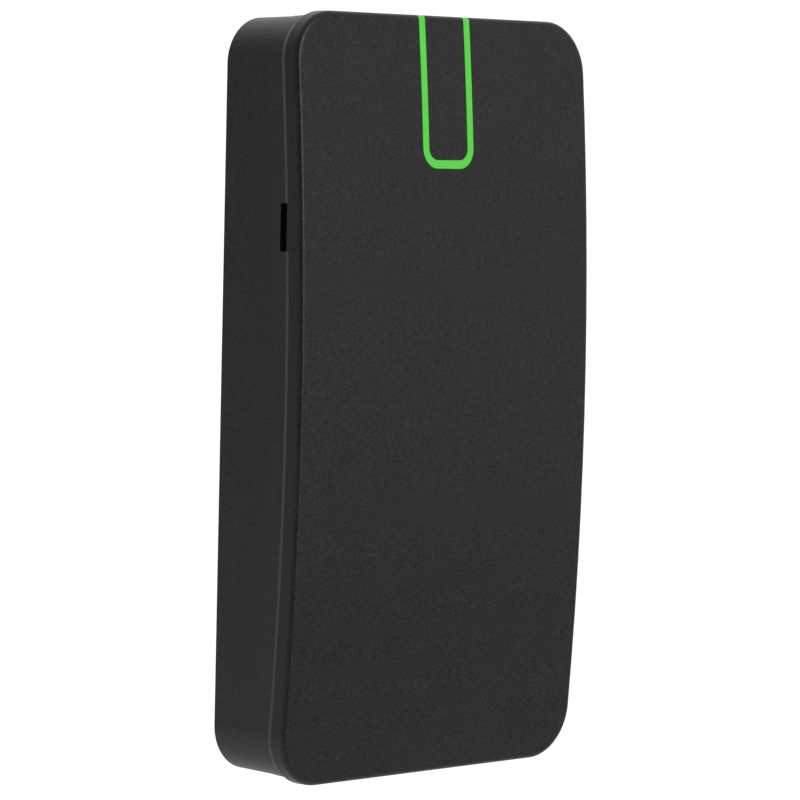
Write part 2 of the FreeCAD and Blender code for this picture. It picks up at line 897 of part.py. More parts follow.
def microcontroller_leads():
    """Forty-eight fine leads, twelve to a side."""
    rise = package_lift + chip_thickness / 2
    leads = []
    for direction in ((1, 0), (0, 1), (-1, 0), (0, -1)):
        leads += lead_row(
            chip_x,
            chip_z,
            chip_side / 2,
            direction,
            chip_leads_per_side,
            chip_lead_pitch,
            chip_lead_width,
            chip_lead_span,
            rise,
        )
    return Part.makeCompound(leads)


def card_radio_chip():
    """Flat leadless package that drives both antennas."""
    return package(radio_x, radio_z, radio_side, radio_side, board_front, radio_thickness)


def line_driver():
    """Eight-lead package that drives the cable's data pair."""
    low = board_front + package_lift
    return package(driver_x, driver_z, driver_width, driver_height, low, driver_thickness)


def line_driver_leads():
    """Eight leads, four on each long side."""
    rise = package_lift + driver_thickness / 2
    leads = []
    for side in (-1, 1):
        leads += lead_row(
            driver_x,
            driver_z,
            driver_width / 2,
            (side, 0),
            4,
            driver_lead_pitch,
            driver_lead_width,
            driver_lead_span,
            rise,
        )
    return Part.makeCompound(leads)


def voltage_regulator():
    """Three-lead power package."""
    low = board_front + package_lift
    return package(
        regulator_x, regulator_z, regulator_width, regulator_height, low, regulator_thickness
    )


def regulator_leads():
    """Three leads below the regulator and one broad tab above it."""
    rise = package_lift + regulator_thickness / 2
    reach = regulator_height / 2
    leads = lead_row(
        regulator_x,
        regulator_z,
        reach,
        (0, -1),
        3,
        regulator_lead_pitch,
        regulator_lead_width,
        regulator_lead_span,
        rise,
    )
    tab_width = 2 * regulator_lead_pitch
    leads += lead_row(
        regulator_x, regulator_z, reach, (0, 1), 1, 0.0, tab_width, regulator_lead_span, rise
    )
    return Part.makeCompound(leads)


def power_inductor():
    """Shielded choke with clipped corners."""
    top = board_front + choke_thickness
    return rounded_block(
        choke_side, choke_side, choke_side / 8, board_front, top, choke_x, choke_z
    )


def crystal():
    """Metal-lidded clock crystal."""
    return package(
        crystal_x, crystal_z, crystal_width, crystal_height, board_front, crystal_thickness
    )


def sounder():
    """Round sounder with its port in the middle."""
    top = board_front + sounder_thickness
    body = peg(sounder_x, sounder_z, sounder_radius, board_front, top)
    rim = edges_on(body, lambda point: abs(point.y + top) < 1e-6)
    body = body.makeFillet(package_edge, rim)
    port = peg(sounder_x, sounder_z, sounder_port_radius, top - sounder_thickness / 2, far)
    return body.cut(port)


def radio_module():
    """Small daughter board of the short-range radio."""
    top = board_front + module_thickness
    return block(module_x, module_z, module_width, module_height, board_front, top)


def radio_module_can():
    """Screening can over the module, clear of its printed antenna."""
    low = board_front + module_thickness
    height = module_height - module_antenna_share - module_can_inset
    z = module_z - module_height / 2 + module_can_inset + height / 2
    width = module_width - 2 * module_can_inset
    return package(module_x, z, width, height, low, module_can_height)


def bulk_capacitor_bases():
    """Square plastic feet of the two electrolytic capacitors."""
    bases = []
    for x, z in bulk_positions:
        top = board_front + bulk_base_thickness
        bases.append(block(x, z, bulk_base_side, bulk_base_side, board_front, top))
    return Part.makeCompound(bases)


def bulk_capacitor_cans():
    """Aluminium cans of the two electrolytic capacitors."""
    cans = []
    for x, z in bulk_positions:
        low = board_front + bulk_base_thickness
        top = low + bulk_can_height - bulk_base_thickness
        can = peg(x, z, bulk_can_radius, low, top)
        rim = edges_on(can, lambda point, top=top: abs(point.y + top) < 1e-6)
        cans.append(can.makeFillet(package_edge, rim))
    return Part.makeCompound(cans)


def small_bodies(spots):
    """Bodies of small chip parts, between their plated ends."""
    bodies = []
    length = small_length - 2 * small_end
    top = board_front + small_thickness
    for x, z, turn in spots:
        size = (length, small_width) if turn == 0 else (small_width, length)
        bodies.append(block(x, z, size[0], size[1], board_front, top))
    return Part.makeCompound(bodies)


def small_ends():
    """Plated ends of all the small chip parts."""
    ends = []
    shift = (small_length - small_end) / 2
    top = board_front + small_thickness
    for x, z, turn in capacitor_spots + resistor_spots:
        for side in (-1, 1):
            if turn == 0:
                end = block(x + side * shift, z, small_end, small_width, board_front, top)
            else:
                end = block(x, z + side * shift, small_width, small_end, board_front, top)
            ends.append(end)
    return Part.makeCompound(ends)


# ---------------------------------------------------------------- write every piece
pieces = {
    "rear_housing": rear_housing(),
    "cable_grommet": cable_grommet(),
    "front_cover": front_cover(),
    "light_guide": light_guide(),
    "main_board": main_board(),
    "board_screws": board_screws(),
    "hf_antenna_loop": printed_loop(),
    "lf_antenna_coil": wound_coil(),
    "status_leds": status_lamps(),
    "status_led_windows": lamp_windows(),
    "light_shield": light_shield(),
    "tamper_switch": tamper_switch(),
    "tamper_plunger": tamper_plunger(),
    "tamper_spring": tamper_spring(),
    "cable_header": cable_header(),
    "header_pins": Part.makeCompound(header_wires(header_pin_side)),
    "microcontroller": microcontroller(),
    "microcontroller_leads": microcontroller_leads(),
    "card_radio_chip": card_radio_chip(),
    "line_driver": line_driver(),
    "line_driver_leads": line_driver_leads(),
    "voltage_regulator": voltage_regulator(),
    "regulator_leads": regulator_leads(),
    "power_inductor": power_inductor(),
    "crystal": crystal(),
    "sounder": sounder(),
    "radio_module": radio_module(),
    "radio_module_can": radio_module_can(),
    "bulk_capacitor_bases": bulk_capacitor_bases(),
    "bulk_capacitor_cans": bulk_capacitor_cans(),
    "chip_capacitors": small_bodies(capacitor_spots),
    "chip_resistors": small_bodies(resistor_spots),
    "chip_part_ends": small_ends(),
}

os.makedirs("parts", exist_ok=True)
for name, shape in pieces.items():
    if not shape.isValid():
        raise ValueError("%s is not a valid shape" % name)
    shape.exportStep("parts/%s.step" % name)
    size = shape.optimalBoundingBox(False)
    print(
        "%-24s %6.2f x %5.2f x %6.2f mm, %9.3f mm3, %d solid(s)"
        % (name, size.XLength, size.YLength, size.ZLength, shape.Volume, len(shape.Solids))
    )
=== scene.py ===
"""The looks of a slim wall-mounted proximity card reader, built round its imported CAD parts.

Everything is in metres in the CAD frame: +X across the face, +Y into the wall, +Z up.
"""

import logging
import math
from dataclasses import dataclass, field
from enum import Enum
from typing import List, Mapping, Optional, Sequence, Tuple

import bmesh
import bpy
import numpy as np
from mathutils import Matrix, Vector


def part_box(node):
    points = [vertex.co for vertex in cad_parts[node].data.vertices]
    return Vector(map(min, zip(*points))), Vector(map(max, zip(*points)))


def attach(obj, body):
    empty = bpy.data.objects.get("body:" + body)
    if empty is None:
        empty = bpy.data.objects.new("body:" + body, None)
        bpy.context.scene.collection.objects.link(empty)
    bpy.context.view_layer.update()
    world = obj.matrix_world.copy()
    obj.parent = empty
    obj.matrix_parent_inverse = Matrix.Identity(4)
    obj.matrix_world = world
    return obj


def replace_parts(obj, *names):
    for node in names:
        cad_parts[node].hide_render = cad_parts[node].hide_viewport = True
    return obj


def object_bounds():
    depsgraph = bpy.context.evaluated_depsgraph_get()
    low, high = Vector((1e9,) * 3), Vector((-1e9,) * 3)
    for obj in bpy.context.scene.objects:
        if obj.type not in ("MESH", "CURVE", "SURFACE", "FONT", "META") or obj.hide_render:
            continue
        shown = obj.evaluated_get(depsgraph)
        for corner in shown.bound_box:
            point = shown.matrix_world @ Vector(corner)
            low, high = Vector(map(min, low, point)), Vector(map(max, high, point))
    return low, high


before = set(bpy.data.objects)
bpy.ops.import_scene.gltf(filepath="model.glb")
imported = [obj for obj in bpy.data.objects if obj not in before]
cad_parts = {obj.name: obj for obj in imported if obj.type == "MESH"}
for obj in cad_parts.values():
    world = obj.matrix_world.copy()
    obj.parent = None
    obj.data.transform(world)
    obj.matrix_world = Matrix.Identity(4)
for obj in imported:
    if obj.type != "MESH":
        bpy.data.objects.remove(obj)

LOG = logging.getLogger("card_reader")
MM = 0.001
WAVES_PER_UNIT = 20 / math.tau    # bands that a wave texture draws in one unit at scale one
CAD_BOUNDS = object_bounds()
SOLDER_STEPS = 5
SOLDER_HOLLOW = 2.2    # how hollow a solder fillet is; one would be a straight slope
WIRE_SIDES = 7
ROUND_SIDES = 28
CORNER_SIDES = 4
LEAD_TUCK = 0.2        # how far a lead-out starts inside the bundle
LEAD_BEND = 1.6        # how a lead-out curves; one would be straight

Rgba = Tuple[float, float, float, float]
Spot = Tuple[float, float]


# ------------------------------------------------------------------ colour and node helpers
def linear(code: str) -> Rgba:
    """Turn an sRGB hex code into linear colour.

    Args:
        code: Six hex digits, with or without a leading hash.

    Returns:
        Red, green, blue and an alpha of one.
    """
    digits = code.lstrip("#")
    channels = []
    for start in (0, 2, 4):
        value = int(digits[start:start + 2], 16) / 255
        low = value <= 0.04045
        channels.append(value / 12.92 if low else ((value + 0.055) / 1.055) ** 2.4)
    return (channels[0], channels[1], channels[2], 1.0)


def per_metre(size_mm: float) -> float:
    """Texture scale that gives features of the given size in millimetres."""
    return 1.0 / (size_mm * MM)


def add_node(
    tree: bpy.types.NodeTree,
    kind: str,
    settings: Optional[Mapping[str, object]] = None,
    links: Optional[Mapping[str, bpy.types.NodeSocket]] = None,
) -> bpy.types.Node:
    """Add one node with its settings and its incoming links.

    Args:
        tree: The node tree that gets the node.
        kind: Blender's node type name.
        settings: Values by name; a name is an input socket's, or else an attribute's.
        links: Output sockets by the name of the input that each one feeds. A name that
            ends in ":A" and the like picks a socket by its identifier.

    Returns:
        The new node.
    """
    node = tree.nodes.new(kind)
    for key, value in (settings or {}).items():
        if hasattr(node, key):
            setattr(node, key, value)
    by_identifier = {socket.identifier: socket for socket in node.inputs}
    for key, value in (settings or {}).items():
        if not hasattr(node, key):
            socket = by_identifier.get(key) or node.inputs[key]
            socket.default_value = value
    for key, source in (links or {}).items():
        socket = by_identifier.get(key) or node.inputs[key]
        tree.links.new(source, socket)
    return node


def live(node: bpy.types.Node) -> bpy.types.NodeSocket:
    """Return the first output that a node with several kinds of output has in use."""
    return next(socket for socket in node.outputs if socket.enabled)


def fill_ramp(ramp: bpy.types.Node, stops: Sequence[Tuple[float, Rgba]]) -> None:
    """Set a colour ramp's stops, which come in rising order.

    Args:
        ramp: The ramp's node, as it is when new.
        stops: Positions from nought to one, and linear colours.
    """
    elements = ramp.color_ramp.elements
    elements.remove(elements[1])
    elements[0].position, elements[0].color = stops[0]
    for position, colour in stops[1:]:
        elements.new(position).color = colour


# ------------------------------------------------------------------ finishes
@dataclass(frozen=True)
class Finish:
    """A finish with one shader. Each kind below draws what goes into it.

    Attributes:
        name: The material's name: what it is made of and how its surface was made.
        colour: Its sRGB base colour.
        roughness: Mean roughness.
        metallic: One for bare metal, else nought.
        ior: Index of refraction; a metal keeps Blender's default.
    """

    name: str
    colour: str
    roughness: float = 0.5
    metallic: float = 0.0
    ior: float = 1.5

    def material(self) -> bpy.types.Material:
        """Return the finish's material, making it the first time.

        Returns:
            The material.
        """
        known = bpy.data.materials.get(self.name)
        if known is not None:
            return known
        made = bpy.data.materials.new(self.name)
        made.use_nodes = True
        tree = made.node_tree
        tree.nodes.clear()
        shader = add_node(tree, "ShaderNodeBsdfPrincipled", {
            "Base Color": linear(self.colour),
            "Roughness": self.roughness,
            "Metallic": self.metallic,
            "IOR": self.ior,
        })
        add_node(tree, "ShaderNodeOutputMaterial", links={"Surface": shader.outputs["BSDF"]})
        place = add_node(tree, "ShaderNodeTexCoord").outputs["Object"]
        self.draw(tree, shader, place)
        made.diffuse_color = linear(self.colour)
        return made

    def draw(
        self,
        tree: bpy.types.NodeTree,
        shader: bpy.types.Node,
        place: bpy.types.NodeSocket,
    ) -> None:
        """Draw the finish's pattern into the shader.

        Args:
            tree: The material's node tree.
            shader: Its Principled shader.
            place: Position in the CAD frame, in metres.
        """
        raise NotImplementedError(self.name)


def vary_roughness(
    tree: bpy.types.NodeTree,
    shader: bpy.types.Node,
    pattern: bpy.types.NodeSocket,
    middle: float,
    spread: float,
) -> None:
    """Let a pattern move the shader's roughness up and down.

    Args:
        tree: The material's node tree.
        shader: Its Principled shader.
        pattern: A value from nought to one.
        middle: The mean roughness.
        spread: How far it goes each way.
    """
    span = add_node(
        tree,
        "ShaderNodeMapRange",
        {"From Min": 0.25, "From Max": 0.75, "To Min": middle - spread, "To Max": middle + spread},
        {"Value": pattern},
    )
    tree.links.new(span.outputs["Result"], shader.inputs["Roughness"])


def vary_colour(
    tree: bpy.types.NodeTree,
    shader: bpy.types.Node,
    pattern: bpy.types.NodeSocket,
    stops: Sequence[Tuple[float, str]],
) -> None:
    """Let a pattern pick the base colour from a ramp.

    Args:
        tree: The material's node tree.
        shader: Its Principled shader.
        pattern: A value from nought to one.
        stops: Positions and sRGB colours along the ramp.
    """
    ramp = add_node(tree, "ShaderNodeValToRGB", links={"Fac": pattern})
    fill_ramp(ramp, [(position, linear(code)) for position, code in stops])
    tree.links.new(ramp.outputs["Color"], shader.inputs["Base Color"])


@dataclass(frozen=True)
class SparkErodedAbs(Finish):
    """Black ABS moulded against a spark-eroded tool.

    The tool leaves fine, even pits, so the face stays matt and dark, and its rounded edges
    break the light into small sparks instead of a clean line.

    Attributes:
        light_colour: Colour of the paler specks of pigment and bloom.
        grit_mm: Spacing of the pits.
        pit_mm: How deep the pits are.
        specular: Specular level of the moulded skin.
    """

    light_colour: str = "2c2c2c"
    grit_mm: float = 0.26
    pit_mm: float = 0.014
    specular: float = 0.5

    def draw(
        self,
        tree: bpy.types.NodeTree,
        shader: bpy.types.Node,
        place: bpy.types.NodeSocket,
    ) -> None:
        """Draw the pits, the specks and a broad, faint cloudiness.

        Args:
            tree: The material's node tree.
            shader: Its Principled shader.
            place: Position in the CAD frame, in metres.
        """
        shader.inputs["Specular IOR Level"].default_value = self.specular
        grit = add_node(
            tree,
            "ShaderNodeTexNoise",
            {"Scale": per_metre(self.grit_mm), "Detail": 2.0, "Roughness": 0.6},
            {"Vector": place},
        )
        cloud = add_node(
            tree, "ShaderNodeTexNoise", {"Scale": per_metre(9.0), "Detail": 3.0}, {"Vector": place}
        )
        faint = add_node(
            tree,
            "ShaderNodeMath",
            {"operation": "MULTIPLY", "Value_001": 0.12},
            {"Value": cloud.outputs["Fac"]},
        )
        speck = add_node(
            tree,
            "ShaderNodeMath",
            {"operation": "MULTIPLY_ADD", "Value_001": 0.88},
            {"Value": grit.outputs["Fac"], "Value_002": faint.outputs["Value"]},
        )
        stops = [(0.3, self.colour), (0.7, self.light_colour)]
        vary_colour(tree, shader, speck.outputs["Value"], stops)
        vary_roughness(tree, shader, grit.outputs["Fac"], self.roughness, 0.08)
        bump = add_node(
            tree,
            "ShaderNodeBump",
            {"Strength": 1.0, "Distance": self.pit_mm * MM},
            {"Height": grit.outputs["Fac"]},
        )
        tree.links.new(bump.outputs["Normal"], shader.inputs["Normal"])


@dataclass(frozen=True)
class Grained(Finish):
    """A finish whose colour, gloss and height follow one fine grain.

    Attributes:
        second: The grain's other sRGB colour.
        grain_mm: Size of the grain; the finest are drawn as coarse as they need to show.
        bump_mm: How far the grain stands up.
        spread: How far the roughness goes each way.
        coat: Weight of a clear coat.
        stretch: How much longer the grain is along X, Y and Z.
    """

    second: str = "808080"
    grain_mm: float = 0.5
    bump_mm: float = 0.0
    spread: float = 0.07
    coat: float = 0.0
    stretch: Tuple[float, float, float] = (1.0, 1.0, 1.0)

    def draw(
        self,
        tree: bpy.types.NodeTree,
        shader: bpy.types.Node,
        place: bpy.types.NodeSocket,
    ) -> None:
        """Draw the grain into the colour, the roughness and the height.

        Args:
            tree: The material's node tree.
            shader: Its Principled shader.
            place: Position in the CAD frame, in metres.
        """
        shader.inputs["Coat Weight"].default_value = self.coat
        scale = [1.0 / length for length in self.stretch]
        pulled = add_node(tree, "ShaderNodeMapping", {"Scale": scale}, {"Vector": place})
        grain = add_node(
            tree,
            "ShaderNodeTexNoise",
            {"Scale": per_metre(self.grain_mm), "Detail": 3.0, "Roughness": 0.55},
            {"Vector": pulled.outputs["Vector"]},
        )
        vary_colour(tree, shader, grain.outputs["Fac"], [(0.32, self.colour), (0.68, self.second)])
        vary_roughness(tree, shader, grain.outputs["Fac"], self.roughness, self.spread)
        bump = add_node(
            tree,
            "ShaderNodeBump",
            {"Strength": 1.0, "Distance": self.bump_mm * MM},
            {"Height": grain.outputs["Fac"]},
        )
        tree.links.new(bump.outputs["Normal"], shader.inputs["Normal"])


@dataclass(frozen=True)
class LacqueredBoard(Finish):
    """Woven glass and resin under a coloured lacquer.

    Attributes:
        second: Colour where the lacquer is thin over the crossings of the threads.
        thread_mm: Spacing of the threads.
        weave_mm: How far the weave shows in the lacquer's surface.
    """

    second: str = "11502b"
    thread_mm: float = 0.55
    weave_mm: float = 0.006

    def draw(
        self,
        tree: bpy.types.NodeTree,
        shader: bpy.types.Node,
        place: bpy.types.NodeSocket,
    ) -> None:
        """Draw two crossing sets of threads into the colour, the gloss and the height.

        Args:
            tree: The material's node tree.
            shader: Its Principled shader.
            place: Position in the CAD frame, in metres.
        """
        shader.inputs["Coat Weight"].default_value = 0.4
        settings = {"Scale": per_metre(self.thread_mm) / WAVES_PER_UNIT, "Distortion": 0.6, "Detail": 1.0}
        warp = add_node(
            tree, "ShaderNodeTexWave", {**settings, "bands_direction": "X"}, {"Vector": place}
        )
        weft = add_node(
            tree, "ShaderNodeTexWave", {**settings, "bands_direction": "Z"}, {"Vector": place}
        )
        weave = add_node(
            tree,
            "ShaderNodeMath",
            {"operation": "MULTIPLY"},
            {"Value": warp.outputs["Fac"], "Value_001": weft.outputs["Fac"]},
        )
        vary_colour(tree, shader, weave.outputs["Value"], [(0.0, self.colour), (0.9, self.second)])
        vary_roughness(tree, shader, weave.outputs["Value"], self.roughness, 0.05)
        bump = add_node(
            tree,
            "ShaderNodeBump",
            {"Strength": 1.0, "Distance": self.weave_mm * MM},
            {"Height": weave.outputs["Value"]},
        )
        tree.links.new(bump.outputs["Normal"], shader.inputs["Normal"])


@dataclass(frozen=True)
class LitPolycarbonate(Finish):
    """Milky polycarbonate with light behind it, which glows evenly along its length."""

    glow: str = "4dc636"
    dim_glow: str = "4ac034"
    strength: float = 0.9

    def draw(
        self,
        tree: bpy.types.NodeTree,
        shader: bpy.types.Node,
        place: bpy.types.NodeSocket,
    ) -> None:
        """Give the strip its glow, with a faint unevenness from the lamps below.

        Args:
            tree: The material's node tree.
            shader: Its Principled shader.
            place: Position in the CAD frame, in metres.
        """
        shader.inputs["Emission Strength"].default_value = self.strength
        haze = add_node(
            tree, "ShaderNodeTexNoise", {"Scale": per_metre(2.5), "Detail": 1.0}, {"Vector": place}
        )
        ramp = add_node(tree, "ShaderNodeValToRGB", links={"Fac": haze.outputs["Fac"]})
        fill_ramp(ramp, [(0.3, linear(self.dim_glow)), (0.7, linear(self.glow))])
        tree.links.new(ramp.outputs["Color"], shader.inputs["Emission Color"])


class Finishes(Enum):
    """Every finish on the reader, by what carries it."""

    # Fine, even tool pits: matt and nearly black, with small sparks where a light catches it.
    COVER = SparkErodedAbs("abs_black_spark_eroded_cover", "050505", 0.34, light_colour="2e2e2e")
    HOUSING = SparkErodedAbs("abs_black_spark_eroded_housing", "040404", 0.36, light_colour="303030")
    # Milky and lit from behind: an even green with no hot spot.
    STRIP = LitPolycarbonate("polycarbonate_milky_lit", "2c8a28", 0.45, ior=1.58)
    # The lamp's own cast lens: brighter and a little yellower than the strip that it feeds.
    RESIN = LitPolycarbonate("epoxy_cast_lit", "5fae4c", 0.18, ior=1.54, glow="a8f08a", dim_glow="7be060")
    # Dull and slightly dusty.
    GROMMET = Grained(
        "epdm_rubber_moulded", "131313", 0.72, ior=1.52, second="1f1f1e", grain_mm=0.5,
        bump_mm=0.012,
    )
    # Glass weave shows through the glossy lacquer as a faint grid.
    BOARD = LacqueredBoard("glass_epoxy_green_lacquered", "0b3d20", 0.3, ior=1.55, second="11502b")
    MODULE = LacqueredBoard("glass_epoxy_blue_lacquered", "0d2448", 0.3, ior=1.55, second="14325e")
    # Copper under the lacquer: the same green, but paler.
    COPPER = Grained("copper_etched_lacquered", "2c7a3a", 0.32, ior=1.55, second="358646", grain_mm=1.5)
    # Lacquered wire: warm copper under a clear gloss.
    COIL = Grained(
        "copper_drawn_enamelled", "8f3f1c", 0.34, metallic=1.0, second="b4602e", grain_mm=0.9,
        bump_mm=0.006, coat=1.0,
    )
    # Adhesive tape: amber and shiny.
    TAPE = Grained(
        "polyimide_tape_rolled", "a86a16", 0.25, ior=1.65, second="bf7e22", grain_mm=2.0,
        bump_mm=0.01,
    )
    # Zinc crystals dull the steel in patches.
    STEEL = Grained(
        "steel_zinc_plated", "9fa2a4", 0.32, metallic=1.0, second="c6c7c4", grain_mm=0.35,
        bump_mm=0.006,
    )
    SPRING = Grained(
        "steel_spring_drawn", "8f9294", 0.24, metallic=1.0, second="b5b7b8", grain_mm=0.12, bump_mm=0.004,
        stretch=(1.0, 4.0, 1.0),
    )
    # Tin that has melted and set: bright, with soft frosting.
    TIN = Grained(
        "bronze_tin_plated", "b4b4b0", 0.26, metallic=1.0, second="d0d0cb", grain_mm=0.3,
        bump_mm=0.004,
    )
    SOLDER = Grained(
        "tin_solder_reflowed", "aaaba9", 0.22, metallic=1.0, second="cfcfcc", grain_mm=0.25,
        bump_mm=0.008,
    )
    GOLD = Grained(
        "copper_gold_plated", "c99a3c", 0.25, metallic=1.0, second="dbb058", grain_mm=0.5,
        bump_mm=0.003,
    )
    # Silica filler leaves a fine grey peppering on the black resin.
    EPOXY = Grained(
        "epoxy_transfer_moulded", "141416", 0.55, ior=1.55, second="26262a", grain_mm=0.14,
        bump_mm=0.008,
    )
    # Pressed and fired powder: dark grey, rough, with open grain.
    FERRITE = Grained(
        "ferrite_pressed_fired", "26262a", 0.62, ior=2.0, second="46464b", grain_mm=0.22,
        bump_mm=0.02,
    )
    # Rolled sheet: fine streaks one way.
    LID = Grained(
        "iron_alloy_nickel_plated", "b3ad9c", 0.28, metallic=1.0, second="cfc9ba", grain_mm=0.2,
        bump_mm=0.004, stretch=(1.0, 1.0, 9.0),
    )
    CAN = Grained(
        "nickel_silver_rolled", "a5a39b", 0.33, metallic=1.0, second="c3c1b9", grain_mm=0.2, bump_mm=0.005,
        stretch=(9.0, 1.0, 1.0),
    )
    # Deep drawing leaves streaks down the can's side.
    ALUMINIUM = Grained(
        "aluminium_deep_drawn", "b3b7ba", 0.3, metallic=1.0, second="d2d4d6", grain_mm=0.18, bump_mm=0.005,
        stretch=(1.0, 8.0, 1.0),
    )
    # Moulded housings with a slight orange peel.
    BLACK_NYLON = Grained(
        "nylon_glass_filled_black", "161617", 0.5, ior=1.53, second="232325", grain_mm=0.3,
        bump_mm=0.01,
    )
    SOUNDER = Grained(
        "polyphenylene_black_moulded", "111112", 0.4, ior=1.58, second="1b1b1d", grain_mm=0.6,
        bump_mm=0.008,
    )
    NATURAL_NYLON = Grained(
        "nylon_natural_moulded", "cbbf9f", 0.48, ior=1.53, second="ddd3b8", grain_mm=0.6,
        bump_mm=0.01,
    )
    WHITE_SHIELD = Grained(
        "polycarbonate_white_moulded", "d3d3ce", 0.48, ior=1.58, second="e4e4e0", grain_mm=0.8,
        bump_mm=0.008,
    )
    LAMP = Grained(
        "polyphthalamide_white_moulded", "dadad4", 0.4, second="ecece6", grain_mm=0.4,
        bump_mm=0.006,
    )
    ACETAL = Grained(
        "acetal_natural_moulded", "d2ccbc", 0.36, ior=1.48, second="e2ddd0", grain_mm=0.7,
        bump_mm=0.008,
    )
    # Fired ceramic: pale brown with darker specks.
    CERAMIC = Grained(
        "barium_titanate_fired", "7d5f40", 0.5, ior=1.9, second="a98a62", grain_mm=0.16,
        bump_mm=0.008,
    )
    # Glaze over the resistive film: black and glossy.
    GLAZE = Grained(
        "resistor_glass_glazed", "0e0e10", 0.2, ior=1.6, second="1a1a1e", grain_mm=0.3,
        bump_mm=0.005,
    )
    # Printed legend and marks: flat, slightly chalky.
    INK = Grained(
        "epoxy_ink_screened_white", "d8d8d2", 0.6, second="eeeee9", grain_mm=0.2, bump_mm=0.006,
    )
    BLACK_INK = Grained(
        "epoxy_ink_printed_black", "101012", 0.5, second="1c1c1f", grain_mm=0.3, bump_mm=0.004,
    )
    # Painted shade: a near-black patch that stands in for the shade inside a drilled or scored recess,
    # which is not cut.
    SHADOW = Grained("recess_painted_shade", "060706", 0.8, second="0b0c0b", grain_mm=0.3)


NODE_FINISH: Mapping[str, Finishes] = {
    "rear_housing": Finishes.HOUSING,
    "front_cover": Finishes.COVER,
    "light_guide": Finishes.STRIP,
    "cable_grommet": Finishes.GROMMET,
    "main_board": Finishes.BOARD,
    "board_screws": Finishes.STEEL,
    "hf_antenna_loop": Finishes.COPPER,
    "lf_antenna_coil": Finishes.COIL,
    "status_leds": Finishes.LAMP,
    "status_led_windows": Finishes.RESIN,
    "light_shield": Finishes.WHITE_SHIELD,
    "tamper_switch": Finishes.BLACK_NYLON,
    "tamper_plunger": Finishes.ACETAL,
    "tamper_spring": Finishes.SPRING,
    "cable_header": Finishes.NATURAL_NYLON,
    "header_pins": Finishes.TIN,
    "microcontroller": Finishes.EPOXY,
    "microcontroller_leads": Finishes.TIN,
    "card_radio_chip": Finishes.EPOXY,
    "line_driver": Finishes.EPOXY,
    "line_driver_leads": Finishes.TIN,
    "voltage_regulator": Finishes.EPOXY,
    "regulator_leads": Finishes.TIN,
    "power_inductor": Finishes.FERRITE,
    "crystal": Finishes.LID,
    "sounder": Finishes.SOUNDER,
    "radio_module": Finishes.MODULE,
    "radio_module_can": Finishes.CAN,
    "bulk_capacitor_bases": Finishes.BLACK_NYLON,
    "bulk_capacitor_cans": Finishes.ALUMINIUM,
    "chip_capacitors": Finishes.CERAMIC,
    "chip_resistors": Finishes.GLAZE,
    "chip_part_ends": Finishes.TIN,
}


def dress(thing: bpy.types.Object, finish: Finishes) -> None:
    """Give every material slot of an object one finish.

    Args:
        thing: The object.
        finish: What it is made of.
    """
    material = finish.value.material()
    if not thing.data.materials:
        thing.data.materials.append(material)
    for slot in thing.material_slots:
        slot.material = material


# ------------------------------------------------------------------ making meshes
@dataclass(frozen=True)
class Patch:
    """A box in millimetres; depth counts forward from the rear face."""

    x_low: float
    x_high: float
    depth_low: float
    depth_high: float
    z_low: float
    z_high: float

    @property
    def x(self) -> float:
        """Middle across the face."""
        return (self.x_low + self.x_high) / 2

    @property
    def z(self) -> float:
        """Middle height."""
        return (self.z_low + self.z_high) / 2

    @property
    def width(self) -> float:
        """Size across the face."""
        return self.x_high - self.x_low

    @property
    def height(self) -> float:
        """Size up the face."""
        return self.z_high - self.z_low


def at(x: float, depth: float, z: float) -> Vector:
    """Point in the CAD frame from millimetres, at a depth in front of the rear face."""
    return Vector((x, -depth, z)) * MM


def patch_of(low: Vector, high: Vector) -> Patch:
    """Turn a box in metres into a patch in millimetres."""
    edges = (low.x, high.x, -high.y, -low.y, low.z, high.z)
    return Patch(*(edge / MM for edge in edges))


def node_patch(name: str) -> Patch:
    """Return the patch that a CAD node fills."""
    return patch_of(*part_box(name))


def solids(name: str) -> List[Patch]:
    """Return one patch for each separate solid of a CAD node, from left to right.

    Args:
        name: The node's name.

    Returns:
        The solids' patches.
    """
    shape = bmesh.new()
    shape.from_mesh(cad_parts[name].data)
    bmesh.ops.remove_doubles(shape, verts=shape.verts[:], dist=0.001 * MM)
    waiting = set(shape.verts)
    found = []
    while waiting:
        front = [waiting.pop()]
        points = []
        while front:
            vert = front.pop()
            points.append(vert.co.copy())
            near = {edge.other_vert(vert) for edge in vert.link_edges} & waiting
            waiting -= near
            front.extend(near)
        low = Vector([min(point[axis] for point in points) for axis in range(3)])
        high = Vector([max(point[axis] for point in points) for axis in range(3)])
        found.append(patch_of(low, high))
    shape.free()
    return sorted(found, key=lambda patch: (patch.x, patch.z))


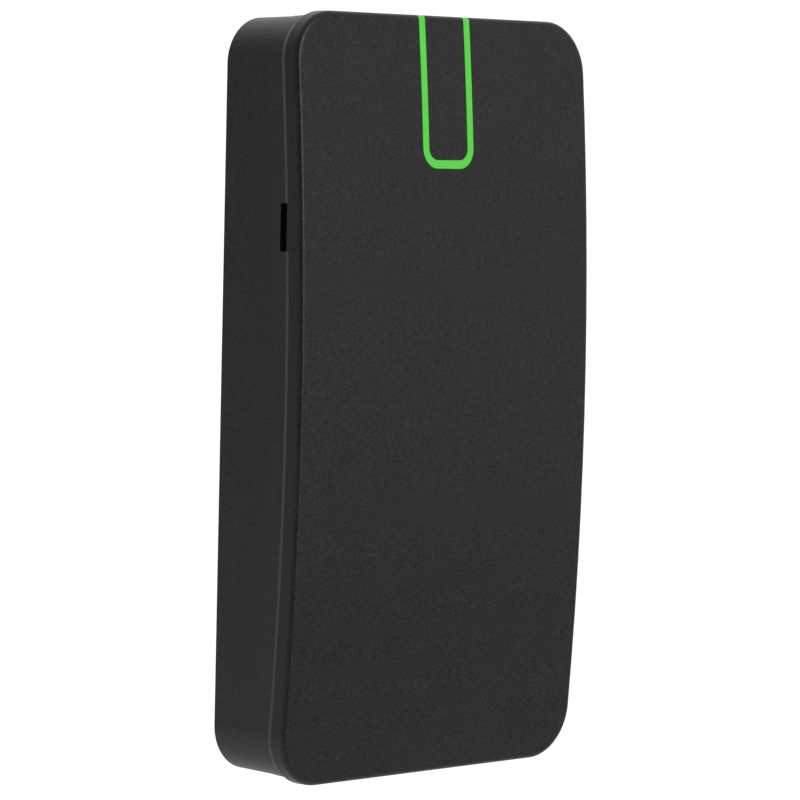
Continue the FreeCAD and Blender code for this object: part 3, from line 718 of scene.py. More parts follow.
@dataclass
class PieceMaker:
    """Collects the closed skins of one piece, and makes its object.

    Attributes:
        name: The piece's name.
        finish: What it is made of.
        slot: A material slot's name; not used.
        body: The body that it rides on.
        smooth: Whether its faces are shaded smooth.
        shape: The mesh so far.
    """

    name: str
    finish: Finishes
    slot: str = ""
    body: str = "housing"
    smooth: bool = False
    shape: bmesh.types.BMesh = field(default_factory=bmesh.new)

    def loft(self, sections: Sequence[Sequence[Vector]], closed: bool = False) -> None:
        """Join outlines with equally many points into one closed skin.

        Args:
            sections: The outlines in order.
            closed: Whether the last joins the first; otherwise both ends are capped.
        """
        loops = [[self.shape.verts.new(point) for point in section] for section in sections]
        pairs = list(zip(loops, loops[1:]))
        if closed:
            pairs.append((loops[-1], loops[0]))
        else:
            self.shape.faces.new(loops[0][::-1])
            self.shape.faces.new(loops[-1])
        for one, two in pairs:
            for index in range(len(one)):
                after = (index + 1) % len(one)
                self.shape.faces.new((one[index], one[after], two[after], two[index]))

    def slab(self, outline: Sequence[Spot], low: float, high: float) -> None:
        """Add a flat slab with an outline of (x, z) spots, between two depths."""
        self.loft([[at(x, depth, z) for x, z in outline] for depth in (low, high)])

    def strip(
        self,
        line: Sequence[Spot],
        width: float,
        low: float,
        high: float,
        closed: bool = False,
    ) -> None:
        """Add a flat strip with mitred corners.

        Args:
            line: The (x, z) spots along its middle.
            width: Its width.
            low: Depth of its rear face.
            high: Depth of its front face.
            closed: Whether its end joins its start.
        """
        spots = np.array(line)
        onward = np.roll(spots, -1, axis=0) if closed else spots[1:]
        ways = onward - spots[:len(onward)]
        ways /= np.linalg.norm(ways, axis=1)[:, None]
        across = np.stack((-ways[:, 1], ways[:, 0]), axis=1)
        if closed:
            before, after = np.roll(across, 1, axis=0), across
        else:
            before, after = np.vstack((across[:1], across)), np.vstack((across, across[-1:]))
        mitre = (before + after) / (1 + np.sum(before * after, axis=1))[:, None]
        left = spots + mitre * width / 2
        right = spots - mitre * width / 2
        sections = []
        for a, b in zip(left, right):
            rear = [at(a[0], low, a[1]), at(b[0], low, b[1])]
            front = [at(b[0], high, b[1]), at(a[0], high, a[1])]
            sections.append(rear + front)
        self.loft(sections, closed)

    def ring(
        self, x: float, z: float, inner: float, outer: float, low: float, high: float
    ) -> None:
        """Add a flat ring between two radii and two depths.

        Args:
            x: Its middle across.
            z: Its middle height.
            inner: Its inner radius.
            outer: Its outer radius.
            low: Depth of its rear face.
            high: Depth of its front face.
        """
        middle = (inner + outer) / 2
        circle = [(x + middle * dx, z + middle * dz) for dx, dz in round_turn()]
        self.strip(circle, outer - inner, low, high, closed=True)

    def disc(self, x: float, z: float, radius: float, low: float, high: float) -> None:
        """Add a flat disc between two depths."""
        self.slab([(x + radius * dx, z + radius * dz) for dx, dz in round_turn()], low, high)

    def mound(self, pad: Patch, margin: float, low: float, height: float) -> None:
        """Add solder that has run up the sides of something on the board.

        Args:
            pad: What it runs up.
            margin: How far it spreads round that.
            low: Depth of the surface that it sits on.
            height: How far up it reaches.
        """
        sections = []
        for step in range(SOLDER_STEPS + 1):
            share = step / SOLDER_STEPS
            spread = margin * (1 - share)
            depth = low + height * share ** SOLDER_HOLLOW
            outline = rounded(pad.x, pad.z, pad.width + 2 * spread, pad.height + 2 * spread, spread + 0.05)
            sections.append([at(x, depth, z) for x, z in outline])
        self.loft(sections)

    def wire(self, line: Sequence[Vector], radius: float, closed: bool = False) -> None:
        """Add a round wire.

        Args:
            line: Points along its middle, in metres.
            radius: Its radius in millimetres.
            closed: Whether its end joins its start.
        """
        count = len(line)
        sections = []
        for index, here in enumerate(line):
            before = line[(index - 1) % count] if closed else line[max(index - 1, 0)]
            after = line[(index + 1) % count] if closed else line[min(index + 1, count - 1)]
            way = (after - before).normalized()
            side = way.cross(Vector((0.0, 1.0, 0.0))).normalized()
            lift = side.cross(way)
            turn = [math.tau * share / WIRE_SIDES for share in range(WIRE_SIDES)]
            offsets = [(side * math.cos(angle) + lift * math.sin(angle)) * radius * MM for angle in turn]
            sections.append([here + offset for offset in offsets])
        self.loft(sections, closed)

    def build(self) -> bpy.types.Object:
        """Make the object, dress it, and let it ride on its body.

        Returns:
            The piece.
        """
        bmesh.ops.recalc_face_normals(self.shape, faces=self.shape.faces[:])
        for face in self.shape.faces:
            face.smooth = self.smooth
        mesh = bpy.data.meshes.new(self.name)
        self.shape.to_mesh(mesh)
        self.shape.free()
        piece = bpy.data.objects.new(self.name, mesh)
        bpy.context.scene.collection.objects.link(piece)
        dress(piece, self.finish)
        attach(piece, self.body)
        LOG.info("%s built with %d faces", self.name, len(mesh.polygons))
        return piece


def round_turn() -> List[Spot]:
    """Return directions evenly round a full turn."""
    angles = [math.tau * step / ROUND_SIDES for step in range(ROUND_SIDES)]
    return [(math.cos(angle), math.sin(angle)) for angle in angles]


def rounded(
    x: float, z: float, width: float, height: float, radius: float, corner_sides: int = CORNER_SIDES
) -> List[Spot]:
    """Return a rectangle with round corners as (x, z) spots.

    Args:
        x: Its middle across.
        z: Its middle height.
        width: Its width.
        height: Its height.
        radius: The corners' radius, which half the shorter side limits.
        corner_sides: How many straight steps a corner has.

    Returns:
        Its spots, anticlockwise as seen from the front.
    """
    radius = min(radius, width / 2, height / 2)
    spots = []
    for quarter, (sx, sz) in enumerate(((1, 1), (-1, 1), (-1, -1), (1, -1))):
        for step in range(corner_sides + 1):
            angle = math.pi / 2 * (quarter + step / corner_sides)
            centre_x = x + sx * (width / 2 - radius)
            centre_z = z + sz * (height / 2 - radius)
            spots.append((centre_x + radius * math.cos(angle), centre_z + radius * math.sin(angle)))
    return spots


def elbow(start: Spot, end: Spot, level: float, bevel: float = 0.6) -> List[Spot]:
    """Return a track that runs up or down to a level, across, and on to its end.

    Args:
        start: Its first (x, z) spot.
        end: Its last.
        level: Height of the stretch that goes across.
        bevel: How large its slanted corners are, at most.

    Returns:
        Its spots.
    """
    across = end[0] - start[0]
    cut = min(bevel, abs(across) / 2 - 0.01, abs(level - start[1]) - 0.01, abs(end[1] - level) - 0.01)
    side = math.copysign(cut, across)
    first = math.copysign(cut, level - start[1])
    second = math.copysign(cut, end[1] - level)
    return [
        start,
        (start[0], level - first),
        (start[0] + side, level),
        (end[0] - side, level),
        (end[0], level + second),
        end,
    ]


# ------------------------------------------------------------------ wound coil
@dataclass
class WoundCoil:
    """Low-frequency antenna: a bundle of enamelled copper wire, tied and stuck to the board.

    Attributes:
        wire_mm: Thickness that the wire is drawn with; the real one, about 0.1 mm, is too
            fine to show.
        corner: Radius of the bundle's outer corners.
        bundle: The bundle's width across the face.
        wobble: How far a turn strays from its place.
        tie_length: Length of each tie along the bundle.
        tie_wall: How far a tie stands out of the bundle.
        lead_drop: How far inside the bundle's lower side the two lead-outs' pads are.
        lead_spread: From the centre line to each pad.
        lead_start: From the centre line to where each lead-out leaves the bundle.
        lead_lift: How far above the board it leaves.
        lead_steps: Points along a lead-out.
        pad_size: Width and height of each pad.
        seed: Start of the stray's random numbers.
    """

    wire_mm: float = 0.24
    corner: float = 3.0
    bundle: float = 1.5
    wobble: float = 0.035
    tie_length: float = 2.2
    tie_wall: float = 0.06
    lead_drop: float = 1.9
    lead_spread: float = 1.3
    lead_start: float = 3.2
    lead_lift: float = 0.9
    lead_steps: int = 12
    pad_size: Spot = (0.6, 0.8)
    seed: int = 11

    def seats(self, whole: Patch) -> List[Spot]:
        """Return the places of the outermost turns in the bundle's section.

        Each is (in from the outer edge, depth).

        Args:
            whole: The patch that the bundle fills.

        Returns:
            Pairs of distance in from the bundle's outer edge, and depth.
        """
        radius = self.wire_mm / 2
        width = self.bundle - self.wire_mm
        thick = whole.depth_high - whole.depth_low - self.wire_mm
        across = int(width / self.wire_mm)
        down = int(thick / self.wire_mm)
        near = whole.depth_low + radius
        seats = []
        for step in range(across + 1):
            place = radius + width * step / across
            seats += [(place, near), (place, near + thick)]
        for step in range(1, down):
            depth = near + thick * step / down
            seats += [(radius, depth), (radius + width, depth)]
        return seats

    def route(self, whole: Patch, inset: float) -> List[Spot]:
        """Return a turn's (x, z) spots at a distance in from the bundle's outer edge.

        Args:
            whole: The patch that the bundle fills.
            inset: How far in the turn runs.

        Returns:
            The spots, anticlockwise.
        """
        corners = rounded(
            whole.x, whole.z, whole.width - 2 * inset, whole.height - 2 * inset, self.corner - inset, 6
        )
        spots: List[Spot] = []
        for here, after in zip(corners, corners[1:] + corners[:1]):
            length = math.dist(here, after)
            pieces = max(1, int(length / 3.0))
            for step in range(pieces):
                share = step / pieces
                x = here[0] + (after[0] - here[0]) * share
                z = here[1] + (after[1] - here[1]) * share
                spots.append((x, z))
        return spots

    def winding(self, whole: Patch) -> bpy.types.Object:
        """Build the turns that show, over a core that stands for the rest.

        Args:
            whole: The patch that the bundle fills.

        Returns:
            The winding.
        """
        draw = np.random.default_rng(self.seed)
        maker = PieceMaker("antenna_coil_winding", Finishes.COIL, "enamelled_wire", smooth=True)
        for inset, depth in self.seats(whole):
            waves = draw.uniform(1.0, 6.0, 3)
            phases = draw.uniform(0.0, math.tau, 3)
            spots = self.route(whole, inset)
            line = []
            for index, (x, z) in enumerate(spots):
                turn = math.tau * index / len(spots)
                angles = [turn * round(wave) + phase for wave, phase in zip(waves, phases)]
                stray = [self.wobble * math.sin(angle) for angle in angles]
                line.append(at(x + stray[0], depth + abs(stray[1]), z + stray[2]))
            maker.wire(line, self.wire_mm / 2, closed=True)
        middle = self.route(whole, self.bundle / 2)
        half_wire = self.wire_mm / 2
        width = self.bundle - self.wire_mm
        maker.strip(middle, width, whole.depth_low + half_wire, whole.depth_high - half_wire, closed=True)
        return maker.build()

    def ties(self, whole: Patch) -> bpy.types.Object:
        """Wrap a band of tape round the middle of each side of the bundle.

        Args:
            whole: The patch that the bundle fills.

        Returns:
            The ties.
        """
        maker = PieceMaker("antenna_coil_ties", Finishes.TAPE)
        reach = self.bundle / 2
        sides = (
            (whole.x_low + reach, whole.z, True),
            (whole.x_high - reach, whole.z, True),
            (whole.x, whole.z_high - reach, False),
            (whole.x, whole.z_low + reach, False),
        )
        wide = self.bundle + 2 * self.tie_wall
        top = whole.depth_high + self.tie_wall
        for x, z, upright in sides:
            size = (wide, self.tie_length) if upright else (self.tie_length, wide)
            maker.slab(rounded(x, z, size[0], size[1], 0.15), whole.depth_low, top)
        return maker.build()

    def lead_outs(self, whole: Patch) -> None:
        """Run the winding's two ends to their pads, and solder them.

        Args:
            whole: The patch that the bundle fills.
        """
        wires = PieceMaker("antenna_coil_lead_outs", Finishes.COIL, "enamelled_wire", smooth=True)
        solder = PieceMaker("antenna_coil_joints", Finishes.SOLDER, "tinned_ends", smooth=True)
        level = whole.z_low + self.bundle
        for side in (-1, 1):
            pad_x = side * self.lead_spread
            pad_z = level + self.lead_drop
            line = []
            start_x = side * self.lead_start
            start_z = level - LEAD_TUCK
            for step in range(self.lead_steps + 1):
                share = step / self.lead_steps
                x = start_x + (pad_x - start_x) * share
                z = start_z + (pad_z - start_z) * share ** LEAD_BEND
                depth = whole.depth_low + self.wire_mm / 2 + self.lead_lift * (1 - share) ** 2
                line.append(at(x, depth, z))
            wires.wire(line, self.wire_mm / 2)
            half_x, half_z = self.pad_size[0] / 2, self.pad_size[1] / 2
            pad = Patch(pad_x - half_x, pad_x + half_x, 0.0, 0.0, pad_z - half_z, pad_z + half_z)
            solder.mound(pad, 0.45, whole.depth_low, 0.34)
        wires.build()
        solder.build()

    def build(self) -> None:
        """Build the coil in place of its plain solid."""
        whole = node_patch("lf_antenna_coil")
        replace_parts(self.winding(whole), "lf_antenna_coil")
        self.ties(whole)
        self.lead_outs(whole)


# ------------------------------------------------------------------ main board
@dataclass
class BoardArtwork:
    """What is printed, plated and soldered on the main board.

    Attributes:
        copper: How far a covered track stands up from the board.
        track: Width of a signal track.
        supply: Width of a supply track.
        ink: Thickness of the white legend.
        ink_line: Width of its lines.
        via_radius: Outside of a via's plated ring.
        via_hole: Radius of its hole.
        fan: How far a lead's track runs before its via, near and far.
        test_spots: Places of the test pads.
        fiducial_spots: Places of the fiducials.
        edge_row: How far in from the board's ends the earth vias stand.
        edge_pitch: And their spacing.
        lane: Spacing of the tracks that reach a chip side by side.
        header_rise: From the header's tails to the nearest track that goes across.
        header_lane: Spacing of those tracks.
        radio_low: From the radio chip's lower edge to the first track from its neighbour.
        radio_lane: Spacing of those tracks.
        module_level: Height of the lowest track that goes across below the module.
        side_level: Height of the lowest track that goes across above the sounder and switch.
        side_end: Where the first of those tracks ends, from the centre line, and its height.
        supply_end: Where the first supply track ends.
        supply_level: Height at which it goes across.
        supply_lane: Spacing of the supply tracks' ends, and of their levels.
        notch_half: Half the width that the wall screws' notches leave without vias.
        foot_share: How much of a lead lies on the board.
        test_radius: Radius of a test pad.
        dimple_inset: From a package's corner to its pin-one dimple.
        tail_side: Width of a header pin's soldered tail.
        tail_foot: Length of it that lies on the board.
    """

    copper: float = 0.02
    track: float = 0.2
    supply: float = 0.9
    ink: float = 0.015
    ink_line: float = 0.16
    via_radius: float = 0.3
    via_hole: float = 0.15
    fan: Spot = (0.7, 1.35)
    test_spots: Tuple[Spot, ...] = (
        (12.6, 6.6), (12.6, 4.2), (12.6, 1.8), (12.6, -0.6), (12.6, -3.0), (12.6, -5.4),
        (-17.6, -28.6), (-15.4, -28.6),
    )
    fiducial_spots: Tuple[Spot, ...] = ((-17.4, 27.4), (17.4, -27.6), (17.6, 34.0))
    edge_row: float = 0.8
    edge_pitch: float = 2.1
    lane: float = 0.8
    header_rise: float = 1.0
    header_lane: float = 0.45
    radio_low: float = 0.6
    radio_lane: float = 0.5
    module_level: float = 19.0
    side_level: float = -24.0
    side_end: Spot = (4.9, -17.0)
    supply_end: Spot = (12.4, 16.0)
    supply_level: float = 22.5
    supply_lane: Spot = (1.5, 1.6)
    notch_half: float = 5.2
    foot_share: float = 0.45
    test_radius: float = 0.6
    dimple_inset: float = 0.8
    tail_side: float = 0.4
    tail_foot: float = 0.7

    def __post_init__(self) -> None:
        """Find the board's own patch and start its pieces."""
        self.board = node_patch("main_board")
        self.face = self.board.depth_high
        self.tracks = PieceMaker("board_tracks", Finishes.COPPER, "printed_copper")
        self.rings = PieceMaker("board_plated_rings", Finishes.SOLDER, "tinned_ends")
        self.holes = PieceMaker("board_via_hole_painted_shade", Finishes.SHADOW)
        self.legend = PieceMaker("board_legend", Finishes.INK)
        self.solder = PieceMaker("board_solder", Finishes.SOLDER, "tinned_ends", smooth=True)
        self.dimples = PieceMaker("package_pin_one_dimple_painted_shade", Finishes.SHADOW)

    def via(self, x: float, z: float) -> None:
        """Add one via: a plated ring round a near-black disc, painted shade in place of the hole.

        Args:
            x: Its middle across.
            z: Its middle height.
        """
        top = self.face + self.copper * 1.5
        self.rings.ring(x, z, self.via_hole, self.via_radius, self.face, top)
        # Painted shade of the hole: a thin near-black disc on the board's face.
        self.holes.disc(x, z, self.via_hole * 1.05, self.face, self.face + self.copper / 2)

    def run(self, line: Sequence[Spot], width: float) -> None:
        """Add one covered track."""
        self.tracks.strip(line, width, self.face, self.face + self.copper)

    def outline(self, patch: Patch, gap: float) -> None:
        """Print a box round a component."""
        spots = rounded(patch.x, patch.z, patch.width + 2 * gap, patch.height + 2 * gap, 0.01, 1)
        self.legend.strip(spots[::2], self.ink_line, self.face, self.face + self.ink, closed=True)

    def leads(self, package: str, leads: str) -> None:
        """Solder a package's feet, and lead a track to a via from every other one.

        Args:
            package: The package's node.
            leads: Its leads' node.
        """
        body = node_patch(package)
        for index, lead in enumerate(solids(leads)):
            dx, dz = lead.x - body.x, lead.z - body.z
            sideways = abs(dx) / body.width > abs(dz) / body.height
            way = (math.copysign(1, dx), 0.0) if sideways else (0.0, math.copysign(1, dz))
            reach = (lead.width if sideways else lead.height) * self.foot_share
            tip_x = lead.x + way[0] * lead.width / 2
            tip_z = lead.z + way[1] * lead.height / 2
            foot = Patch(
                min(tip_x, tip_x - way[0] * reach) - abs(way[1]) * lead.width / 2,
                max(tip_x, tip_x - way[0] * reach) + abs(way[1]) * lead.width / 2,
                0.0,
                0.0,
                min(tip_z, tip_z - way[1] * reach) - abs(way[0]) * lead.height / 2,
                max(tip_z, tip_z - way[1] * reach) + abs(way[0]) * lead.height / 2,
            )
            self.solder.mound(foot, 0.12, self.face, 0.13)
            length = self.fan[index % 2]
            end = (tip_x + way[0] * length, tip_z + way[1] * length)
            if index % 3:
                self.run([(tip_x, tip_z), end], self.track)
                self.via(*end)

    def chip_parts(self) -> None:
        """Solder both ends of every small chip part."""
        for end in solids("chip_part_ends"):
            self.solder.mound(end, 0.22, self.face, 0.34)

    def routes(self) -> None:
        """Run the longer tracks between the parts."""
        micro = node_patch("microcontroller_leads")
        radio = node_patch("card_radio_chip")
        tails = solids("header_pins")
        for index, tail in enumerate(tails):
            left = index < len(tails) / 2
            order = index if left else len(tails) - 1 - index
            base = micro.z_low if left else radio.z_low
            shift = (order - 1.5) * self.lane
            target = micro.x + shift if left else radio.x - shift
            level = tail.z_high + self.header_rise + order * self.header_lane
            self.run(elbow((tail.x, tail.z_high), (target, base + 0.1), level), self.track)
            half = self.tail_side / 2
            foot = Patch(tail.x - half, tail.x + half, 0.0, 0.0, tail.z_high - self.tail_foot, tail.z_high)
            self.solder.mound(foot, 0.22, self.face, 0.28)
        for order in range(4):
            z = radio.z_low + self.radio_low + order * self.radio_lane
            self.run([(micro.x_high, z), (radio.x_low, z)], self.track)
        module = node_patch("radio_module")
        for order in range(5):
            start = (module.x + (order - 2) * 0.9, module.z_low)
            end = (micro.x + (order - 2) * self.lane, micro.z_high - 0.1)
            self.run(elbow(start, end, self.module_level + order * 0.5), self.track)
        for name, side in (("sounder", -1), ("tamper_switch", 1)):
            part = node_patch(name)
            for order in range(2):
                start = (part.x + order * 0.9, part.z_high)
                end = (side * (self.side_end[0] + order * 0.6), self.side_end[1])
                self.run(elbow(start, end, self.side_level + order * 0.6), self.track)
                self.via(*end)
        cans = solids("bulk_capacitor_cans")
        for order, can in enumerate(cans):
            end = (self.supply_end[0] + order * self.supply_lane[0], self.supply_end[1])
            level = self.supply_level - order * self.supply_lane[1]
            self.run(elbow((can.x, can.z_low), end, level, 1.2), self.supply)
            self.via(*end)

    def rows(self) -> None:
        """Stitch the board's two ends with earth vias."""
        span = self.board.width / 2 - 6.5
        count = int(2 * span / self.edge_pitch)
        for step in range(count + 1):
            x = -span + step * self.edge_pitch
            for z in (self.board.z_high - self.edge_row, self.board.z_low + self.edge_row):
                if abs(x) > self.notch_half:
                    self.via(x, z)

    def marks(self) -> None:
        """Add test pads, fiducials, plated rings round the screws, the legend, and painted shade for the
        pin-one dimples.
        """
        top = self.face + self.copper
        for x, z in self.test_spots:
            self.rings.disc(x, z, self.test_radius, self.face, top)
        for x, z in self.fiducial_spots:
            self.rings.disc(x, z, 0.45, self.face, top)
            self.legend.ring(x, z, 0.95, 1.05, self.face, self.face + self.ink)
        for screw in solids("board_screws"):
            self.rings.ring(screw.x, screw.z, screw.width / 2 - 0.1, screw.width / 2 + 0.5, self.face, top)
        for name in ("power_inductor", "crystal", "sounder", "tamper_switch", "radio_module"):
            self.outline(node_patch(name), 0.35)
        for name in ("microcontroller", "card_radio_chip", "line_driver"):
            chip = node_patch(name)
            self.legend.disc(chip.x_low - 0.45, chip.z_high + 0.45, 0.22, self.face, self.face + self.ink)
            top = chip.depth_high
            # Pin-one dimple: a thin near-black disc on the package's top, painted shade of a dimple that is
            # not sunk.
            dimple = (chip.x_low + self.dimple_inset, chip.z_high - self.dimple_inset)
            self.dimples.disc(*dimple, 0.3, top, top + self.ink)
        for base in solids("bulk_capacitor_bases"):
            self.outline(base, 0.3)

    def build(self) -> None:
        """Build everything on the board's face."""
        self.leads("microcontroller", "microcontroller_leads")
        self.leads("line_driver", "line_driver_leads")
        self.leads("voltage_regulator", "regulator_leads")
        self.chip_parts()
        self.routes()
        self.rows()
        self.marks()
        for maker in (self.tracks, self.rings, self.holes, self.legend, self.solder, self.dimples):
            maker.build()


@dataclass
class RadioModuleDetails:
    """Printed aerial and soldered edge of the little wireless module.

    Attributes:
        trace: Width of the aerial's trace.
        folds: How many times it turns back.
        margin: From the trace to the module's edges and its can.
        pad_pitch: Spacing of the soldered edge pads.
        pad_length: Their length along the edge.
        proud: How far printed copper stands up.
    """

    trace: float = 0.28
    folds: int = 9
    margin: float = 0.35
    pad_pitch: float = 0.95
    pad_length: float = 0.5
    proud: float = 0.03

    def build(self) -> None:
        """Build the aerial and the edge pads."""
        module = node_patch("radio_module")
        can = node_patch("radio_module_can")
        low, high = can.z_high + self.margin, module.z_high - self.margin
        left, right = module.x_low + self.margin, module.x_high - self.margin
        line: List[Spot] = []
        for fold in range(self.folds + 1):
            x = left + (right - left) * fold / self.folds
            ends = ((x, low), (x, high)) if fold % 2 == 0 else ((x, high), (x, low))
            line.extend(ends)
        aerial = PieceMaker("module_aerial", Finishes.GOLD)
        aerial.strip(line, self.trace, module.depth_high, module.depth_high + self.proud)
        solder = PieceMaker("module_edge_joints", Finishes.SOLDER, "tinned_ends", smooth=True)
        count = int((can.z_high - can.z_low) / self.pad_pitch)
        thick = module.depth_high - module.depth_low
        for step in range(count):
            z = can.z_low + self.pad_pitch * (step + 0.5)
            ends = (z - self.pad_length / 2, z + self.pad_length / 2)
            for edge in (module.x_low, module.x_high):
                pad = Patch(edge - 0.08, edge + 0.08, 0.0, 0.0, *ends)
                solder.mound(pad, 0.4, module.depth_low, thick + self.proud)
                outline = rounded(edge, z, 0.7, self.pad_length, 0.1)
                aerial.slab(outline, module.depth_high, module.depth_high + self.proud)
        aerial.build()
        solder.build()


@dataclass
class CapacitorTops:
    """Polarity marks on the aluminium capacitors, and painted shade where their vents are scored.

    Attributes:
        mark_share: How much of the top the black mark covers, along its radius.
        ink: Thickness of the mark.
        score: Width of the vent's scores.
    """

    mark_share: float = 0.45
    ink: float = 0.015
    score: float = 0.14

    def build(self) -> None:
        """Print the marks, and lay near-black strips as painted shade for the scored vents."""
        marks = PieceMaker("capacitor_polarity_marks", Finishes.BLACK_INK)
        vents = PieceMaker("capacitor_vent_painted_shade", Finishes.SHADOW)
        for can in solids("bulk_capacitor_cans"):
            radius = can.width / 2 * 0.86
            reach = math.acos(1 - self.mark_share)
            angles = [math.pi - reach + 2 * reach * step / 20 for step in range(21)]
            outline = [(can.x + radius * math.cos(a), can.z + radius * math.sin(a)) for a in angles]
            marks.slab(outline, can.depth_high, can.depth_high + self.ink)
            for turn in range(3):
                angle = math.tau * (turn + 0.25) / 3
                arm = radius * 0.8
                end = (can.x + arm * math.cos(angle), can.z + arm * math.sin(angle))
                top = can.depth_high + self.ink * 1.5
                # Painted shade of a vent score: a thin near-black strip on the can's top.
                vents.strip([(can.x, can.z), end], self.score, can.depth_high, top)
        marks.build()
        vents.build()


@dataclass
class MouldMarks:
    """Witness rings that the moulding tool's ejector pins leave.

    Attributes:
        radius: A pin's radius.
        line: Width of its ring.
        proud: How far the ring stands up.
        cover_spots: Pins inside the front cover.
        rear_spots: Pins on the housing's rear face.
    """

    radius: float = 1.6
    line: float = 0.14
    proud: float = 0.05
    cover_spots: Tuple[Spot, ...] = (
        (-15.0, 31.0), (15.0, 31.0), (-15.0, 5.0), (15.0, 5.0), (-15.0, -22.0), (15.0, -22.0), (0.0, -31.0),
    )
    rear_spots: Tuple[Spot, ...] = (
        (-16.0, 20.0), (16.0, 20.0), (-16.0, -20.0), (16.0, -20.0), (0.0, 12.0),
    )

    def build(self) -> None:
        """Build the rings inside the cover and on the rear face."""
        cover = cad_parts["front_cover"]
        inside = PieceMaker("cover_ejector_rings", Finishes.COVER, "cover_plastic", "cover")
        for x, z in self.cover_spots:
            sections = []
            for dx, dz in round_turn():
                section = []
                for radius, lift in self.section():
                    spot_x, spot_z = x + radius * dx, z + radius * dz
                    start = at(spot_x, node_patch("front_cover").depth_low, spot_z)
                    met, place, _, _ = cover.ray_cast(start, Vector((0.0, -1.0, 0.0)))
                    if not met:
                        raise ValueError("no cover in front of an ejector pin")
                    section.append(at(spot_x, -place.y / MM - lift, spot_z))
                sections.append(section)
            inside.loft(sections, closed=True)
        inside.build()
        rear = PieceMaker("housing_ejector_rings", Finishes.HOUSING, "housing_plastic")
        for x, z in self.rear_spots:
            rear.ring(x, z, self.radius - self.line, self.radius, -self.proud, self.proud)
        rear.build()

    def section(self) -> Tuple[Spot, ...]:
        """Return the ring's section as (radius, how far it stands out of the wall)."""
        inner, outer, proud = self.radius - self.line, self.radius, self.proud
        return ((inner, -proud), (outer, -proud), (outer, proud), (inner, proud))


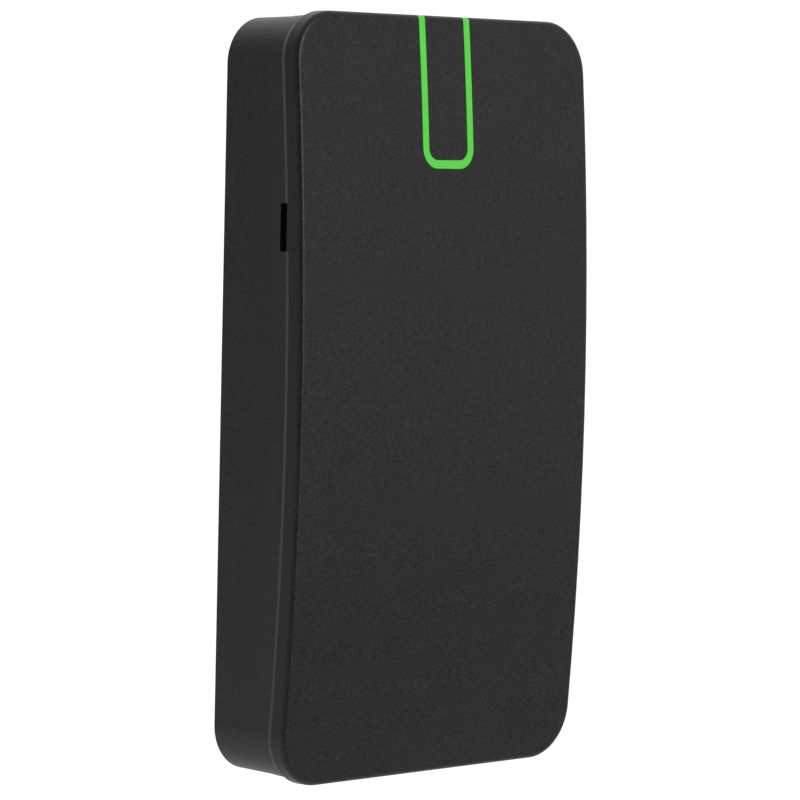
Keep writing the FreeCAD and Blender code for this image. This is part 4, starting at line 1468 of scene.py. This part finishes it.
# ------------------------------------------------------------------ studio
@dataclass
class Studio:
    """Pale floor, soft lights and the camera.

    Attributes:
        yaw: How far the camera stands to the reader's left of square on, in degrees.
        pitch: How far above the reader's middle it stands, in degrees.
        roll: Clockwise turn of the picture, in degrees.
        distance: From the rear face's centre to the lens, in metres.
        lens: Focal length on a 36 mm sensor, in millimetres.
        aim_right: Where the camera aims, right of the rear face's centre, in metres.
        aim_up: And above it.
        floor_drop: Floor below the reader, in metres.
        floor_half: Half the floor's side, in metres.
        floor_glow: How bright the floor is to the reader, well in front of it and under it.
        key_bearing: Where the front soft box hangs, in degrees right of straight in front.
        key_lift: And in degrees up.
        key_reach: How far off it hangs, in metres.
        key_size: Its width and height, in metres.
        key_power: Its power in watts.
        zenith: How bright the ceiling is.
        backdrop: How bright the surroundings are to the camera; over one, so that they stay white.
        room: Brightness of the room by bearing, in degrees from straight in front round by
            the right; the bearing behind the reader is 180.
    """

    yaw: float = 45.818
    pitch: float = 3.281
    roll: float = 1.237
    distance: float = 0.4701
    lens: float = 197.02
    aim_right: float = 0.003827
    aim_up: float = -0.001046
    floor_drop: float = 0.12
    floor_half: float = 0.8
    floor_glow: Tuple[float, float] = (0.24, 0.6)
    key_bearing: float = 15.0
    key_lift: float = 17.0
    key_reach: float = 1.3
    key_size: Tuple[float, float] = (0.5, 0.9)
    key_power: float = 4.0
    zenith: float = 0.5
    backdrop: float = 1.1
    room: Tuple[Tuple[float, float], ...] = (
        (0.0, 0.4),
        (46.0, 0.37),
        (90.0, 0.9),
        (120.0, 0.9),
        (180.0, 0.8),
        (195.0, 0.5),
        (205.0, 0.38),
        (226.0, 0.27),
        (270.0, 0.3),
        (300.0, 0.3),
        (312.0, 0.08),
        (345.0, 0.08),
        (360.0, 0.4),
    )

    def camera(self) -> bpy.types.Object:
        """Place the camera and make it the scene's.

        Returns:
            The camera.
        """
        yaw = math.radians(self.yaw)
        pitch = math.radians(self.pitch)
        back = Vector((
            -math.sin(yaw) * math.cos(pitch),
            -math.cos(yaw) * math.cos(pitch),
            math.sin(pitch),
        ))
        right = Vector((math.cos(yaw), -math.sin(yaw), 0.0))
        up = right.cross(-back)
        roll = math.radians(self.roll)
        right_rolled = right * math.cos(roll) + up * math.sin(roll)
        up_rolled = up * math.cos(roll) - right * math.sin(roll)
        aim = right_rolled * self.aim_right + up_rolled * self.aim_up
        place = back * self.distance
        forward = (aim - place).normalized()
        side = forward.cross(up_rolled).normalized()
        top = side.cross(forward)
        turn = Matrix((side, top, -forward)).transposed().to_4x4()
        data = bpy.data.cameras.new("camera")
        data.lens = self.lens
        data.sensor_width = 36.0
        data.clip_start = 0.01
        data.clip_end = 50.0
        thing = bpy.data.objects.new("camera", data)
        thing.matrix_world = Matrix.Translation(place) @ turn
        bpy.context.scene.collection.objects.link(thing)
        bpy.context.scene.camera = thing
        return thing

    def floor(self) -> bpy.types.Object:
        """Lay the pale floor, well below the reader because a wall holds it up.

        Returns:
            The floor.
        """
        level = CAD_BOUNDS[0].z - self.floor_drop
        half = self.floor_half
        corners = [(x * half, y * half, level) for x, y in ((-1, -1), (1, -1), (1, 1), (-1, 1))]
        mesh = bpy.data.meshes.new("floor")
        mesh.from_pydata(corners, [], [(0, 1, 2, 3)])
        thing = bpy.data.objects.new("floor", mesh)
        bpy.context.scene.collection.objects.link(thing)
        material = bpy.data.materials.new("paper_white_backlit")
        material.use_nodes = True
        tree = material.node_tree
        tree.nodes.clear()
        seen = add_node(tree, "ShaderNodeLightPath").outputs["Is Camera Ray"]
        place = add_node(tree, "ShaderNodeTexCoord").outputs["Object"]
        parts = add_node(tree, "ShaderNodeSeparateXYZ", links={"Vector": place})
        front, under = self.floor_glow
        span = {"From Min": -0.4, "From Max": 0.0, "To Min": front, "To Max": under}
        glow = add_node(tree, "ShaderNodeMapRange", span, {"Value": parts.outputs["Y"]})
        dim = add_node(tree, "ShaderNodeEmission", links={"Strength": glow.outputs["Result"]})
        bright = add_node(tree, "ShaderNodeEmission", {"Strength": self.backdrop})
        links = {
            "Fac": seen,
            "Shader": dim.outputs["Emission"],
            "Shader_001": bright.outputs["Emission"],
        }
        mix = add_node(tree, "ShaderNodeMixShader", links=links)
        add_node(tree, "ShaderNodeOutputMaterial", links={"Surface": mix.outputs["Shader"]})
        mesh.materials.append(material)
        return thing

    def soft_box(
        self, name: str, place: Vector, target: Vector, size: Tuple[float, float], power: float
    ) -> bpy.types.Object:
        """Hang one rectangular soft light.

        Args:
            name: The light's name.
            place: Where it hangs.
            target: What it faces.
            size: Width and height, in metres.
            power: Its power in watts.

        Returns:
            The light.
        """
        data = bpy.data.lights.new(name, "AREA")
        data.shape = "RECTANGLE"
        data.size = size[0]
        data.size_y = size[1]
        data.energy = power
        thing = bpy.data.objects.new(name, data)
        thing.location = place
        thing.rotation_mode = "QUATERNION"
        thing.rotation_quaternion = (target - place).to_track_quat("-Z", "Y")
        bpy.context.scene.collection.objects.link(thing)
        return thing

    def world(self) -> None:
        """White surroundings to the eye, and to the reader a room with a lit back wall.

        The room's brightness goes by compass direction: white behind the reader, grey to its
        left, dark round the camera, and grey again in front on the right.
        """
        world = bpy.data.worlds.new("studio")
        bpy.context.scene.world = world
        world.use_nodes = True
        tree = world.node_tree
        tree.nodes.clear()
        way = add_node(tree, "ShaderNodeTexCoord").outputs["Generated"]
        parts = add_node(tree, "ShaderNodeSeparateXYZ", links={"Vector": way})
        bearing = add_node(
            tree,
            "ShaderNodeMath",
            {"operation": "ARCTAN2"},
            {"Value": parts.outputs["X"], "Value_001": parts.outputs["Y"]},
        )
        turn = add_node(
            tree,
            "ShaderNodeMath",
            {"operation": "MULTIPLY_ADD", "Value_001": -0.5 / math.pi, "Value_002": 0.5},
            {"Value": bearing.outputs["Value"]},
        )
        ramp = add_node(tree, "ShaderNodeValToRGB", links={"Fac": turn.outputs["Value"]})
        greys = [(degrees / 360.0, (level, level, level, 1.0)) for degrees, level in self.room]
        fill_ramp(ramp, greys)
        overhead = add_node(
            tree,
            "ShaderNodeMapRange",
            {"From Min": 0.65, "From Max": 0.97, "interpolation_type": "SMOOTHSTEP"},
            {"Value": parts.outputs["Z"]},
        )
        level = self.zenith
        sky = add_node(
            tree,
            "ShaderNodeMix",
            {"data_type": "RGBA", "B_Color": (level, level, level, 1.0)},
            {"Factor_Float": overhead.outputs["Result"], "A_Color": ramp.outputs["Color"]},
        )
        seen = add_node(tree, "ShaderNodeLightPath").outputs["Is Camera Ray"]
        room = add_node(tree, "ShaderNodeBackground", links={"Color": live(sky)})
        blank = {"Color": linear("ffffff"), "Strength": self.backdrop}
        white = add_node(tree, "ShaderNodeBackground", blank)
        links = {
            "Fac": seen,
            "Shader": room.outputs["Background"],
            "Shader_001": white.outputs["Background"],
        }
        mix = add_node(tree, "ShaderNodeMixShader", links=links)
        add_node(tree, "ShaderNodeOutputWorld", links={"Surface": mix.outputs["Shader"]})

    def build(self) -> None:
        """Set up the whole studio."""
        bpy.context.scene.view_settings.view_transform = "Standard"
        self.world()
        self.floor()
        self.camera()
        bearing = math.radians(self.key_bearing)
        lift = math.radians(self.key_lift)
        flat = Vector((math.sin(bearing), -math.cos(bearing), 0.0)) * math.cos(lift)
        place = (flat + Vector((0.0, 0.0, math.sin(lift)))) * self.key_reach
        target = Vector((0.0, 0.0, 0.0))
        self.soft_box("front_soft_box", place, target, self.key_size, self.key_power)


def main() -> None:
    """Build and dress the reader's sub-assemblies in order, then the studio."""
    logging.basicConfig(level=logging.INFO, format="%(name)s: %(message)s")
    for name, finish in NODE_FINISH.items():
        dress(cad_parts[name], finish)
        LOG.info("%s dressed in %s", name, finish.value.name)
    WoundCoil().build()
    BoardArtwork().build()
    RadioModuleDetails().build()
    CapacitorTops().build()
    MouldMarks().build()
    Studio().build()


if __name__ == "__main__":
    main()
